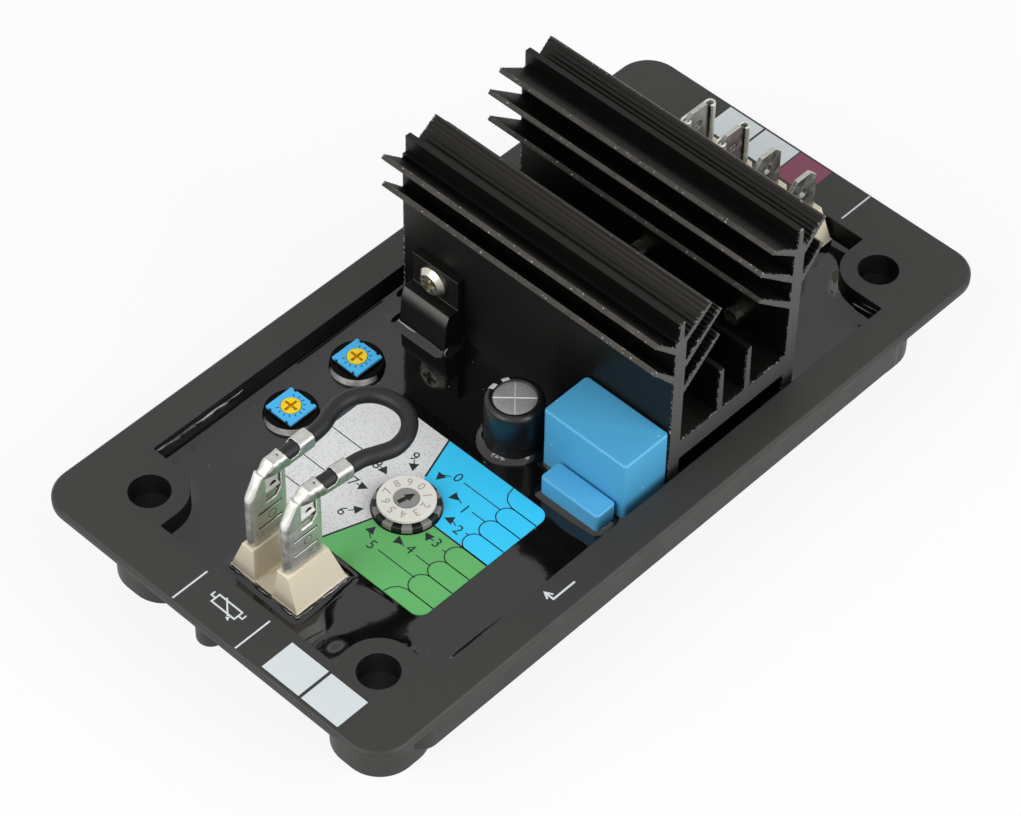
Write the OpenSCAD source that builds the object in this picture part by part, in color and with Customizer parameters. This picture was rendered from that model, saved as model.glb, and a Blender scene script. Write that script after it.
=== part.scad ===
// Potted automatic voltage regulator for a generator.
// Millimetres. +Z is up, X runs along the flange, and the feet stand on z = 0.

/* [View] */
// Piece to draw, or all of them

/* [Housing] */
// Length of the flange plate
plate_l = 140; // [138:1:150]
// Width of the flange plate
plate_w = 75; // [73:1:85]
// Thickness of the flange plate
plate_t = 1.6; // [1.2:0.1:2.4]
// Corner radius of the flange plate
plate_corner_r = 6; // [3:0.5:8]
// Bevel along the top edge of the flange plate
plate_edge = 0.45; // [0.2:0.05:0.8]
// Diameter of the bolt holes
hole_d = 6.8; // [5:0.1:7.4]
// Bolt hole spacing along X
hole_dx = 115; // [114:0.5:117]
// Bolt hole spacing along Y
hole_dy = 50; // [49:0.5:52]
// Radius of the solid pad round each bolt hole
pad_r = 6.3; // [5.5:0.1:6.6]
// Length of the pocket
pocket_l = 122; // [121:0.5:124]
// Width of the pocket
pocket_w = 62; // [61.5:0.5:64]
// Thickness of the tub walls
wall_t = 2; // [1.5:0.1:2.5]
// Thickness of the tub floor
floor_t = 1.5; // [1.2:0.1:1.9]
// Depth of the tub below the top of the flange
tub_h = 14.6; // [14.2:0.1:18]
// Length of the tub's long walls
tub_long = 113.2; // [108:0.2:116]
// Height of the feet below the tub
foot_h = 3.6; // [1:0.1:8]
// Side of each foot
foot_w = 14.6; // [13:0.1:15]
// Corner radius of each foot
foot_r = 6.2; // [3:0.1:6.4]
// How far each foot is set in from its bolt hole
foot_inset = 1.1; // [0:0.1:1.6]
// Radius of the round rib on the tub's end wall
end_rib_r = 2.4; // [1.5:0.1:3]
// Place of the end rib along Y
end_rib_y = 6.5; // [0:0.5:10]
// Diameter of the board posts
post_d = 5; // [3:0.5:8]
// Board post spacing along X
post_dx = 84; // [70:1:88]
// Board post spacing along Y
post_dy = 46; // [40:1:50]

/* [Potting and board] */
// Level of the resin below the top of the flange
resin_drop = 4.5; // [4.1:0.1:4.9]
// Depth of resin over the board
pot_depth = 6; // [4.5:0.1:6.4]
// Thickness of the circuit board
board_t = 1.6; // [1:0.1:2]
// Gap between the board and the pocket walls
board_gap = 2; // [1:0.5:3]
// Length of the settings label
label_l = 28.7; // [24:0.1:30]
// Width of the settings label
label_w = 37.6; // [30:0.1:39]
// Thickness of the settings label
label_t = 0.15; // [0.1:0.05:0.3]
// Corner radius on the near edge of the label
label_r = 2; // [1:0.5:5]
// Centre of the label along X
label_x = -29.5; // [-30.5:0.1:-28.5]
// Centre of the label along Y
label_y = -1.3; // [-3:0.1:-1]

/* [Heat sink] */
// Centre of the heat sink along X
sink_x = 16.9; // [16.7:0.1:20]
// Length of the heat sink
sink_l = 57.9; // [52:0.1:60]
// Width over the outer faces of the walls
sink_w = 29.7; // [28:0.1:30]
// Thickness of the walls
sink_wall = 2.5; // [2:0.1:3]
// Height from the foot of the walls to their crest
sink_h = 37.2; // [36.5:0.1:42]
// Depth of the walls in the resin
sink_embed = 1; // [0.5:0.1:2]
// Underside of the web above the foot of the walls
web_up = 5.4; // [4:0.1:5.6]
// Thickness of the web
web_t = 4.2; // [3:0.1:4.4]
// Spacing of the two upright fins on the web
keel_gap = 6.4; // [5:0.1:9]
// Height of the upright fins above the web
keel_h = 9.2; // [6:0.1:11]
// Thickness of a fin at its root
fin_root_t = 1.5; // [1:0.1:2]
// Thickness of a fin at its tip
fin_tip_t = 0.9; // [0.5:0.1:1.2]
// Root of the lower outer fin above the foot of the walls
outer_low_z = 25.2; // [22:0.1:27]
// Root of the upper outer fin above the foot of the walls
outer_high_z = 31.8; // [30:0.1:32.5]
// Reach of the outer fins
outer_reach = 4.35; // [3:0.05:5]
// Rise of the outer fins
outer_rise = 5.2; // [3:0.1:5.4]
// Root of the lowest inner fin above the foot of the walls
inner_low_z = 21; // [19:0.1:22.5]
// Root of the middle inner fin above the foot of the walls
inner_mid_z = 26.8; // [25:0.1:28]
// Reach of the two lower inner fins
inner_reach = 7.6; // [5:0.1:9]
// Rise of the two lower inner fins
inner_rise = 7.1; // [5:0.1:8]
// Root of the top inner fin above the foot of the walls
inner_top_z = 32.9; // [32:0.1:33.2]
// Reach of the top inner fin
inner_top_reach = 5.2; // [3:0.1:7]
// Rise of the top inner fin
inner_top_rise = 4.1; // [2:0.1:4.2]
// Thickness of the crest on each wall
crest_t = 1.1; // [0.8:0.1:1.6]
// Height of the crest above the full wall
crest_h = 3.4; // [2:0.1:4]

/* [Transistors] */
// Width of a transistor
device_w = 10.2; // [9:0.1:11]
// Height of a transistor
device_h = 15.7; // [15:0.1:16.5]
// Thickness of a transistor body
device_t = 4.6; // [4:0.1:5]
// Thickness of a transistor tab
device_tab_t = 1.3; // [1:0.1:1.8]
// Height of a transistor tab above its body
device_tab_h = 6.3; // [6:0.1:7]
// Depth of the bevel at the top of a transistor body
device_edge = 0.7; // [0.3:0.1:1.2]
// Height of the bevel at the top of a transistor body
device_edge_h = 1.9; // [0.5:0.1:2.4]
// Lean of the front of a transistor body
device_lean = 0.6; // [0.1:0.1:1]
// Drop from the top of a transistor to its screw
device_hole_drop = 2.9; // [2.9:0.05:3.1]
// Diameter of the hole in a transistor tab
device_hole_d = 3.6; // [3.4:0.1:3.8]
// Height of the screws above the foot of the heat sink's walls
screw_up = 12.1; // [11.5:0.1:13]
// Place of the front transistor along Y
front_device_y = 20.5; // [16:0.1:22]
// Place of the rear left transistor along Y
rear_left_y = 1.8; // [-2:0.1:6]
// Place of the rear right transistor along Y
rear_right_y = -18.6; // [-22:0.1:-14]
// Diameter of a screw's thread
screw_d = 3; // [2.5:0.1:3.2]
// Radial gap between a screw and its hole in the wall
screw_gap = 0.03; // [0.01:0.01:0.1]
// Diameter of a screw head
screw_head_d = 5.6; // [5:0.1:5.7]
// Height of a screw head
screw_head_h = 1.5; // [1.4:0.1:2.4]
// Length of a screw past the inside of the wall
screw_tip = 1.5; // [0.5:0.1:3]
// Width of the cross recess
recess_w = 0.8; // [0.5:0.1:1]
// Span of the cross recess
recess_l = 3; // [2:0.1:3.6]
// Depth of the cross recess
recess_h = 0.8; // [0.5:0.1:1.3]
// Width of a lead
lead_w = 0.9; // [0.6:0.1:1.2]
// Thickness of a lead
lead_t = 0.5; // [0.4:0.1:0.8]
// Spacing of the leads
lead_pitch = 2.54; // [2.4:0.02:2.8]

/* [Capacitors] */
// Diameter over the electrolytic capacitor's sleeve
elco_d = 9.8; // [8:0.1:10.4]
// Rise of the electrolytic capacitor above the resin
elco_rise = 9.8; // [6:0.1:14]
// Thickness of its sleeve
sleeve_t = 0.2; // [0.1:0.05:0.4]
// Width of the sleeve's lip over the top of the can
sleeve_lip = 1.2; // [0.6:0.1:1.6]
// Radial gap between the can and the sleeve
sleeve_gap = 0.02; // [0.01:0.01:0.05]
// Centre of the electrolytic capacitor along X
elco_x = -7.6; // [-8.5:0.1:-6]
// Centre of the electrolytic capacitor along Y
elco_y = -5.1; // [-5.3:0.1:0]
// Length of the large film capacitor along X
film_l = 10; // [9:0.1:10]
// Width of the large film capacitor along Y
film_w = 17.4; // [14:0.1:17.6]
// Rise of the large film capacitor above the resin
film_rise = 12.6; // [8:0.1:15]
// Gap from the large film capacitor to the heat sink
film_gap = 0.2; // [0.2:0.05:1]
// Centre of the large film capacitor along Y
film_y = -20.3; // [-20.5:0.1:-19.6]
// Length of the small film capacitor along X
small_film_l = 4.4; // [3.5:0.1:5]
// Width of the small film capacitor along Y
small_film_w = 12.2; // [10:0.1:13]
// Rise of the small film capacitor above the resin
small_film_rise = 3.9; // [2:0.1:6]
// Gap between the two film capacitors
small_film_gap = 0.35; // [0.05:0.05:0.4]
// Centre of the small film capacitor along Y
small_film_y = -21.7; // [-23:0.1:-20]
// Corner radius of the film capacitors
film_r = 0.8; // [0.4:0.1:1.5]

/* [Selector] */
// Centre of the selector along X
selector_x = -29.5; // [-31:0.1:-28]
// Centre of the selector along Y
selector_y = -3; // [-5:0.1:-1]
// Diameter of the selector body
selector_d = 10.9; // [10:0.1:12]
// Rise of the selector body above the resin
selector_rise = 1.2; // [0.8:0.1:2]
// Gap between the label and the selector body
label_gap = 0.3; // [0.1:0.1:1]
// Diameter of the selector dial
dial_d = 9.4; // [8:0.1:9.8]
// Thickness of the selector dial
dial_t = 0.7; // [0.5:0.1:1.2]
// Gap under the selector dial
dial_gap = 0.35; // [0.3:0.05:0.6]
// Diameter of the selector hub
hub_d = 4; // [3.6:0.1:5]
// Rise of the hub above the dial
hub_rise = 0.15; // [0.05:0.05:0.4]
// Radial gap between the dial and its hub
hub_gap = 0.02; // [0.01:0.01:0.05]
// Diameter of the hub's stem
hub_stem_d = 3; // [2.4:0.1:3.4]
// Depth of the hub's stem in the body
hub_stem_h = 3; // [2:0.1:4]
// Width of the slot in the hub
hub_slot_w = 0.8; // [0.5:0.1:1.2]
// Turn of the arrow slot from the label's first mark
hub_turn = -13.5; // [-18:0.5:18]
// Depth of the slot in the hub
hub_slot_h = 0.6; // [0.3:0.1:0.7]
// Running clearance of turning stems
turn_gap = 0.05; // [0.02:0.01:0.09]

/* [Trimmers] */
// Centre of the stability trimmer along X
stability_x = -28.6; // [-32:0.1:-26]
// Centre of the voltage trimmer along X
voltage_x = -13.9; // [-18:0.1:-12]
// Centre of both trimmers along Y
trimmer_y = 23.7; // [22:0.1:25]
// Side of a trimmer
trimmer_w = 5.7; // [5:0.1:6.6]
// Rise of a trimmer's base above the resin
trimmer_rise = 1.55; // [0.5:0.05:2]
// Thickness of a trimmer's cover
cover_t = 0.5; // [0.3:0.05:0.9]
// Size of the notches in a trimmer's cover
cover_notch = 0.6; // [0.3:0.1:0.9]
// Diameter of a trimmer's rotor
rotor_d = 3.3; // [2:0.1:3.6]
// Rise of the rotor above the cover
rotor_rise = 0.15; // [0.05:0.05:0.4]
// Depth of the rotor below the cover
rotor_h = 1.2; // [0.6:0.1:2]
// Gap under the rotor
rotor_gap = 0.35; // [0.3:0.05:0.6]
// Width of the cross slot in the rotor
rotor_slot_w = 0.5; // [0.3:0.1:0.7]
// Depth of the cross slot in the rotor
rotor_slot_h = 0.6; // [0.3:0.1:0.8]

/* [Terminals] */
// Spacing of the terminal tabs
pole_pitch = 7.62; // [7.5:0.02:7.8]
// Length of a terminal block along X
block_l = 11; // [10:0.1:11.4]
// Block material past the centre of its last tab
block_side = 3.6; // [3:0.1:4.2]
// Rise of a terminal block above the resin
block_rise = 0.6; // [0.4:0.1:1]
// Gap between the front block and the end of the pocket
front_gap = 4.3; // [3.5:0.1:5.5]
// Gap between the rear block and the end of the pocket
rear_gap = 0.3; // [0.1:0.1:1]
// Centre of the front block along Y
front_y = 0.8; // [-2:0.1:2]
// Centre of the rear block along Y
rear_y = 2.2; // [0:0.1:2.6]
// Height of the ribs on a block
rib_h = 6.2; // [5:0.1:7]
// Length of a rib's top along X
rib_l = 8.6; // [8.4:0.1:9]
// Width of a rib at its top
rib_top_w = 2.5; // [2:0.1:3]
// Width of a rib at its foot
rib_foot_w = 3.6; // [2.6:0.1:4.4]
// Ledge left between the foot of an end rib and the edge of the block
rib_ledge = 0.2; // [0.1:0.05:0.5]
// Offset of ribs and tabs toward the end of the flange
tab_out = 0.5; // [0.4:0.1:0.8]
// Width of a tab
tab_w = 6.3; // [6:0.1:6.5]
// Thickness of a tab
tab_t = 0.8; // [0.6:0.05:0.9]
// Height of a tab above its rib
tab_up = 9.4; // [8.5:0.1:10.4]
// Bevel on the corners of a tab
tab_tip = 1.5; // [0.6:0.1:2]
// Diameter of the hole in a tab
tab_hole_d = 1.7; // [1.2:0.1:2.2]
// Drop from the end of a tab to its hole
tab_hole_drop = 3.6; // [3:0.1:4.5]
// Gap round a tab in its rib
slot_gap = 0.02; // [0.01:0.01:0.05]

/* [Receptacles] */
// Width of a receptacle
rec_w = 8.2; // [8:0.1:8.6]
// Thickness of the sheet
sheet_t = 0.4; // [0.3:0.05:0.5]
// Gap between a receptacle and its tab
rec_gap = 0.03; // [0.01:0.01:0.06]
// Gap between a receptacle and the rib under it
rec_lift = 0.1; // [0:0.05:0.3]
// Height of a rear receptacle
rec_h = 8.6; // [7.8:0.1:9]
// Height of the lower slit in a receptacle's floor
slit_low = 3.2; // [2.6:0.1:3.8]
// Height of the upper slit in a receptacle's floor
slit_high = 6.4; // [5.6:0.1:7]
// Width of a slit
slit_w = 0.25; // [0.15:0.05:0.4]
// Height of a jumper receptacle's floor
jumper_floor_h = 8; // [7.4:0.1:8.6]
// Height of a jumper receptacle's rolled edge at the barrel's open end
jumper_rec_h = 11.9; // [11:0.1:12.2]
// Left edge of the window above a jumper receptacle's floor
window_x = -0.7; // [-1:0.1:-0.5]
// Gap between the end of a tab and the neck above it
neck_gap = 0.1; // [0.05:0.05:0.3]
// Radius of the stop along the foot of the neck
stop_r = 0.4; // [0.3:0.05:0.5]
// Radius of the half-round hole in the neck
neck_hole_r = 0.75; // [0.5:0.05:0.9]
// Height of the crimp barrel's axis above the rib
barrel_up = 14.4; // [14.2:0.1:14.6]
// Radius of the crimp barrel
barrel_r = 2; // [1.8:0.1:2.2]
// Start of the crimp barrel, from the middle of the tab
barrel_x = -1.2; // [-1.4:0.1:-1]
// Bend of the right crimp barrel from its box
right_bend = 5.5; // [0:0.5:6]
// Gap between the wire and the crimp barrel
barrel_gap = 0.05; // [0.02:0.01:0.1]
// Length of the conductor crimp
crimp_l = 4.6; // [3.5:0.1:5]
// Length of the open trough between the crimps
trough_l = 3.4; // [2.4:0.1:4]
// Length of the insulation crimp
grip_l = 3.6; // [3:0.1:4.4]
// Length of the flared mouth where the wire leaves the barrel
mouth_l = 1.6; // [1:0.1:2.4]
// Wall left at the edge of the flared mouth
mouth_edge = 0.15; // [0.1:0.05:0.3]
// Diameter of the jumper wire
wire_d = 2.7; // [2.2:0.1:2.9]

/* [Hidden] */
eps = 0.01;
$fn = 48;

floor_z = foot_h + floor_t;
plate_z = foot_h + tub_h;
tub_end = hole_dy - 2 * pad_r + 2 * wall_t;
resin_z = plate_z - resin_drop;
board_z = resin_z - pot_depth;
post_h = board_z - board_t - floor_z;

sink_z = resin_z - sink_embed;
sink_half = sink_w / 2;
front_wall_x = sink_x - sink_half;
rear_wall_x = sink_x + sink_half;
device_z = sink_z + screw_up + device_hole_drop - device_h;
screw_z = sink_z + screw_up;
screw_hole_r = screw_d / 2 + screw_gap;

elco_r = elco_d / 2;
can_r = elco_r - sleeve_t - sleeve_gap;
elco_h = pot_depth + elco_rise;
film_x = front_wall_x - film_gap - film_l / 2;
small_film_x = film_x - film_l / 2 - small_film_gap - small_film_l / 2;

selector_top = resin_z + selector_rise;
dial_z = selector_top + dial_gap;
stem_bore_r = hub_stem_d / 2 + turn_gap;
cover_z = resin_z + trimmer_rise;
rotor_bore_r = rotor_d / 2 + turn_gap;

front_x = -pocket_l / 2 + front_gap + block_l / 2;
rear_x = pocket_l / 2 - rear_gap - block_l / 2;
front_tab_x = front_x - tab_out;
rear_tab_x = rear_x + tab_out;
block_z = resin_z + block_rise;
rib_z = block_z + rib_h;
half_pitch = pole_pitch / 2;
front_poles = [front_y + half_pitch, front_y - half_pitch];
rear_poles = [for (i = [0:3]) rear_y + (1.5 - i) * pole_pitch];

roll_r = tab_t + 2 * rec_gap + sheet_t;
roll_x = rec_w / 2 - roll_r;
roll_y = tab_t / 2 + rec_gap;
floor_y = -tab_t / 2 - rec_gap - sheet_t;
barrel_z = rib_z + barrel_up;
barrel_bore_r = wire_d / 2 + barrel_gap;
neck_top = barrel_up - 0.75 * barrel_r;

// Middle line of the jumper seen from above, from the middle of the front pair of tabs
jumper_line = [
    [2.6, half_pitch], [5.2, half_pitch], [7.9, half_pitch], [10.4, half_pitch], [12.4, 4.05], [14.6, 4.75],
    [17.2, 5.2], [19.9, 4.6], [22.1, 2.8], [23.2, 0.2], [23.2, -2.6], [21.9, -5], [19.6, -6.55], [16.8, -7],
    [14.2, -6.1], [12.2, -5.2], right_axis(10.4), right_axis(7.9), right_axis(5.3), right_axis(2.6)
];
jumper_path = [for (p = jumper_line) [front_tab_x + p[0], front_y + p[1]]];

// Point on the right barrel's axis seen from above, at a distance along X from the tab
function right_axis(x) = [x, -half_pitch - x * tan(right_bend)];
function bend(a, b, c, d, t) =
    0.5 * (2 * b + (c - a) * t + (2 * a - 5 * b + 4 * c - d) * t * t + (3 * b - a - 3 * c + d) * t * t * t);
function smooth(p, n) = [
    for (i = [0:len(p) - 2])
        for (k = [0:n - 1])
            bend(p[max(i - 1, 0)], p[i], p[i + 1], p[min(i + 2, len(p) - 1)], k / n),
    p[len(p) - 1]
];
function heading(p, i) =
    let (d = p[min(i + 1, len(p) - 1)] - p[max(i - 1, 0)])
    d / norm(d);

// Rectangle with rounded corners, centred
module round_rect(l, w, r) {
    square([l - 2 * r, w], center = true);
    square([l, w - 2 * r], center = true);
    for (x = [-1, 1], y = [-1, 1])
        translate([x * (l / 2 - r), y * (w / 2 - r)])
            circle(r);
}

module at_holes() {
    for (x = [0, 1], y = [0, 1])
        mirror([x, 0, 0])
            mirror([0, y, 0])
                translate([hole_dx / 2, hole_dy / 2, 0])
                    children();
}

// Solid corner round one bolt hole, in plan
module hole_pad() {
    circle(pad_r);
    translate([0, -pad_r])
        square([20, 40]);
    translate([-pad_r, 0])
        square([40, 20]);
}

// Inside of the pocket in plan
module pocket_plan() {
    difference() {
        square([pocket_l, pocket_w], center = true);
        at_holes()
            hole_pad();
    }
}

module flange() {
    hull() {
        translate([0, 0, plate_z - plate_t])
            linear_extrude(plate_t - plate_edge)
                round_rect(plate_l, plate_w, plate_corner_r);
        translate([0, 0, plate_z - eps])
            linear_extrude(eps)
                round_rect(plate_l - 2 * plate_edge, plate_w - 2 * plate_edge, plate_corner_r - plate_edge);
    }
}

module housing() {
    color("#464642")
    difference() {
        union() {
            flange();
            translate([0, 0, foot_h])
                linear_extrude(tub_h - plate_t) {
                    round_rect(tub_long, pocket_w + 2 * wall_t, 3);
                    round_rect(pocket_l + 2 * wall_t, tub_end, 2);
                    translate([-pocket_l / 2 - wall_t + 0.2, end_rib_y])
                        circle(end_rib_r);
                }
            at_holes()
                translate([-foot_inset, -foot_inset, 0])
                    linear_extrude(plate_z - plate_t)
                        round_rect(foot_w, foot_w, foot_r);
        }
        translate([0, 0, floor_z])
            linear_extrude(tub_h)
                pocket_plan();
        at_holes()
            translate([0, 0, -1])
                cylinder(d = hole_d, h = plate_z + 2);
    }
    color("#464642")
    board_posts();
}

module board_posts() {
    for (x = [-1, 1], y = [-1, 1])
        translate([x * post_dx / 2, y * post_dy / 2, floor_z - eps])
            cylinder(d = post_d, h = post_h + eps);
}

module board_plan() {
    square([hole_dx - 2 * pad_r - 2 * board_gap, pocket_w - 2 * board_gap], center = true);
    square([pocket_l - 2 * board_gap, hole_dy - 2 * pad_r - 2 * board_gap], center = true);
}

module circuit_board() {
    color("#2F6B3A")
    translate([0, 0, board_z - board_t])
        linear_extrude(board_t)
            board_plan();
}

module potting_resin() {
    color("#161616")
    difference() {
        translate([0, 0, floor_z])
            linear_extrude(resin_z - floor_z)
                pocket_plan();
        translate([0, 0, board_z - board_t])
            linear_extrude(board_t)
                board_plan();
        board_posts();
        elco_shape(elco_r);
        film_shape(film_x, film_y, film_l, film_w, film_rise);
        film_shape(small_film_x, small_film_y, small_film_l, small_film_w, small_film_rise);
        selector_shape();
        trimmer_shape(stability_x);
        trimmer_shape(voltage_x);
        block_shape(front_x, front_y, 2);
        block_shape(rear_x, rear_y, 4);
        sink_feet();
        at_devices() {
            device_shape();
            device_leads();
        }
    }
}

// One tapered fin from a root to a tip, in the plane of the profile
module fin(root, tip) {
    along = (tip - root) / norm(tip - root);
    across = [-along[1], along[0]];
    polygon([
        root + across * fin_root_t / 2, root - across * fin_root_t / 2,
        tip - across * fin_tip_t / 2, tip + across * fin_tip_t / 2
    ]);
}

// The wall on the -X side with its fins
module sink_wall_profile() {
    mid = -sink_half + sink_wall / 2;
    translate([-sink_half, 0])
        square([sink_wall, sink_h - crest_h]);
    translate([mid - crest_t / 2, 0])
        square([crest_t, sink_h]);
    fin([mid, outer_low_z - 1], [-sink_half - outer_reach, outer_low_z + outer_rise]);
    fin([mid, outer_high_z - 1], [-sink_half - outer_reach, outer_high_z + outer_rise - 0.7]);
    fin([mid, inner_low_z - 0.6], [-sink_half + sink_wall + inner_reach, inner_low_z + inner_rise]);
    fin([mid, inner_mid_z - 0.6], [-sink_half + sink_wall + inner_reach, inner_mid_z + inner_rise]);
    fin([mid, inner_top_z - 0.6], [-sink_half + sink_wall + inner_top_reach, inner_top_z + inner_top_rise]);
}

module sink_profile() {
    sink_wall_profile();
    mirror([1, 0])
        sink_wall_profile();
    translate([-sink_half + eps, web_up])
        square([sink_w - 2 * eps, web_t]);
    for (s = [-1, 1])
        fin([s * keel_gap / 2, web_up + web_t / 2], [s * keel_gap / 2, web_up + web_t + keel_h]);
}

module heat_sink() {
    color("#1E1E1D")
    difference() {
        translate([sink_x, sink_l / 2, sink_z])
            rotate([90, 0, 0])
                linear_extrude(sink_l)
                    sink_profile();
        at_devices()
            translate([-1, 0, screw_z])
                rotate([0, 90, 0])
                    cylinder(r = screw_hole_r, h = sink_wall + 2);
    }
}

// The parts of the walls that stand in the resin
module sink_feet() {
    for (x = [front_wall_x, rear_wall_x - sink_wall])
        translate([x, -sink_l / 2, sink_z])
            cube([sink_wall, sink_l, sink_embed + 1]);
}

module at_front_device() {
    translate([front_wall_x, front_device_y, 0])
        children();
}

module at_rear_device(y) {
    translate([rear_wall_x, y, 0])
        rotate([0, 0, 180])
            children();
}

module at_devices() {
    at_front_device()
        children();
    at_rear_device(rear_left_y)
        children();
    at_rear_device(rear_right_y)
        children();
}

// A transistor whose back lies on x = 0 and whose front faces -X
module device_shape() {
    body_h = device_h - device_tab_h;
    translate([0, device_w / 2, device_z])
        rotate([90, 0, 0])
            linear_extrude(device_w)
                polygon([
                    [0, 0], [0, device_h], [-device_tab_t, device_h], [-device_tab_t, body_h],
                    [-device_t + device_lean + device_edge, body_h],
                    [-device_t + device_lean, body_h - device_edge_h], [-device_t, 0]
                ]);
}

module device() {
    difference() {
        device_shape();
        translate([-device_t - 1, 0, screw_z])
            rotate([0, 90, 0])
                cylinder(d = device_hole_d, h = device_t + 2);
    }
}

module device_leads() {
    for (i = [-1:1])
        translate([-device_t / 2 - lead_t / 2, i * lead_pitch - lead_w / 2, board_z])
            cube([lead_t, lead_w, device_z - board_z]);
}

module front_transistor() {
    color("#232322")
    at_front_device()
        device();
}

module rear_left_transistor() {
    color("#232322")
    at_rear_device(rear_left_y)
        device();
}

module rear_right_transistor() {
    color("#232322")
    at_rear_device(rear_right_y)
        device();
}

module transistor_leads() {
    color("#B9BBB8")
    at_devices()
        device_leads();
}

// A screw whose head sits on a transistor tab and faces -X
module device_screw() {
    head_r = screw_head_d / 2;
    translate([-device_tab_t, 0, screw_z])
        rotate([0, 90, 0])
            difference() {
                union() {
                    rotate_extrude()
                        polygon([
                            [0, 0], [head_r, 0], [head_r, -screw_head_h * 0.45],
                            [head_r - 0.9, -screw_head_h], [0, -screw_head_h]
                        ]);
                    cylinder(d = screw_d, h = device_tab_t + sink_wall + screw_tip);
                }
                translate([0, 0, -screw_head_h]) {
                    cube([recess_l, recess_w, 2 * recess_h], center = true);
                    cube([recess_w, recess_l, 2 * recess_h], center = true);
                }
            }
}

module transistor_screws() {
    color("#C4C6C4")
    at_devices()
        device_screw();
}

module elco_shape(r) {
    translate([elco_x, elco_y, board_z])
        cylinder(r = r, h = elco_h);
}

module electrolytic_can() {
    color("#A9ABA9")
    difference() {
        translate([elco_x, elco_y, board_z])
            cylinder(r = can_r, h = elco_h - sleeve_t);
        translate([elco_x, elco_y, board_z + elco_h - sleeve_t])
            for (a = [30, 120])
                rotate([0, 0, a])
                    cube([1.2 * (can_r - sleeve_lip), 0.4, 0.4], center = true);
    }
}

module electrolytic_sleeve() {
    color("#1C1C1E")
    difference() {
        elco_shape(elco_r);
        translate([elco_x, elco_y, board_z - 1])
            cylinder(r = can_r + sleeve_gap, h = elco_h - sleeve_t + 1);
        translate([elco_x, elco_y, board_z])
            cylinder(r = elco_r - sleeve_lip, h = elco_h + 1);
    }
}

module film_shape(x, y, l, w, rise) {
    translate([x, y, board_z])
        linear_extrude(pot_depth + rise)
            round_rect(l, w, film_r);
}

module large_film_capacitor() {
    color("#4AA0CC")
    film_shape(film_x, film_y, film_l, film_w, film_rise);
}

module small_film_capacitor() {
    color("#4AA0CC")
    film_shape(small_film_x, small_film_y, small_film_l, small_film_w, small_film_rise);
}

module settings_label() {
    color("#38BFF5")
    translate([label_x, label_y, resin_z])
        linear_extrude(label_t)
            difference() {
                union() {
                    translate([-label_l / 2, -label_w / 2 + label_r])
                        square([label_l, label_w - label_r]);
                    round_rect(label_l, label_w, label_r);
                }
                translate([selector_x - label_x, selector_y - label_y])
                    circle(selector_d / 2 + label_gap);
            }
}

module selector_shape() {
    translate([selector_x, selector_y, board_z])
        cylinder(d = selector_d, h = pot_depth + selector_rise);
}

module selector_body() {
    color("#202022")
    difference() {
        selector_shape();
        translate([selector_x, selector_y, selector_top - hub_stem_h - dial_gap])
            cylinder(r = stem_bore_r, h = hub_stem_h + dial_gap + 1);
    }
}

module selector_dial() {
    color("#D8D3C4")
    translate([selector_x, selector_y, dial_z])
        difference() {
            cylinder(d = dial_d, h = dial_t);
            translate([0, 0, -1])
                cylinder(r = hub_d / 2 + hub_gap, h = dial_t + 2);
        }
}

// An arrow along +X in plan, centred on the origin
module arrow(l, w) {
    translate([-l / 2, -w / 2])
        square([l / 2 + eps, w]);
    polygon([[0, -w], [l / 2, 0], [0, w]]);
}

module selector_hub() {
    color("#7D7F80")
    translate([selector_x, selector_y, dial_z])
        difference() {
            union() {
                cylinder(d = hub_d, h = dial_t + hub_rise);
                translate([0, 0, -dial_gap - hub_stem_h])
                    cylinder(d = hub_stem_d, h = dial_gap + hub_stem_h + eps);
            }
            translate([0, 0, dial_t + hub_rise - hub_slot_h])
                rotate(hub_turn)
                    linear_extrude(2 * hub_slot_h)
                        arrow(0.8 * hub_d, hub_slot_w);
        }
}

module trimmer_shape(x) {
    translate([x, trimmer_y, board_z + (pot_depth + trimmer_rise) / 2])
        cube([trimmer_w, trimmer_w, pot_depth + trimmer_rise], center = true);
}

module trimmer_bases() {
    color("#8E9294")
    for (x = [stability_x, voltage_x])
        difference() {
            trimmer_shape(x);
            translate([x, trimmer_y, cover_z + cover_t - rotor_h - rotor_gap])
                cylinder(r = rotor_bore_r, h = rotor_h + rotor_gap);
        }
}

module trimmer_cover(x) {
    translate([x, trimmer_y, cover_z])
        difference() {
            linear_extrude(cover_t)
                difference() {
                    square(trimmer_w, center = true);
                    for (a = [0, 1], b = [0, 1])
                        mirror([a, 0])
                            mirror([0, b])
                                translate([trimmer_w / 2, trimmer_w / 2 - 1.6 * cover_notch])
                                    square(cover_notch, center = true);
                }
            translate([0, 0, -1])
                cylinder(r = rotor_bore_r, h = cover_t + 2);
        }
}

module trimmer_rotor(x) {
    translate([x, trimmer_y, cover_z + cover_t - rotor_h])
        difference() {
            cylinder(d = rotor_d, h = rotor_h + rotor_rise);
            translate([0, 0, rotor_h + rotor_rise]) {
                cube([0.8 * rotor_d, rotor_slot_w, 2 * rotor_slot_h], center = true);
                cube([rotor_slot_w, 0.8 * rotor_d, 2 * rotor_slot_h], center = true);
            }
        }
}

module stability_trimmer_cover() {
    color("#45B4EE")
    trimmer_cover(stability_x);
}

module stability_trimmer_rotor() {
    color("#F2D21B")
    trimmer_rotor(stability_x);
}

module voltage_trimmer_cover() {
    color("#45B4EE")
    trimmer_cover(voltage_x);
}

module voltage_trimmer_rotor() {
    color("#F2D21B")
    trimmer_rotor(voltage_x);
}

// The plain foot of a terminal block, from the board up
module block_shape(x, y, poles) {
    w = (poles - 1) * pole_pitch + 2 * block_side;
    translate([x - block_l / 2, y - w / 2, board_z])
        cube([block_l, w, pot_depth + block_rise]);
}

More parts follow.
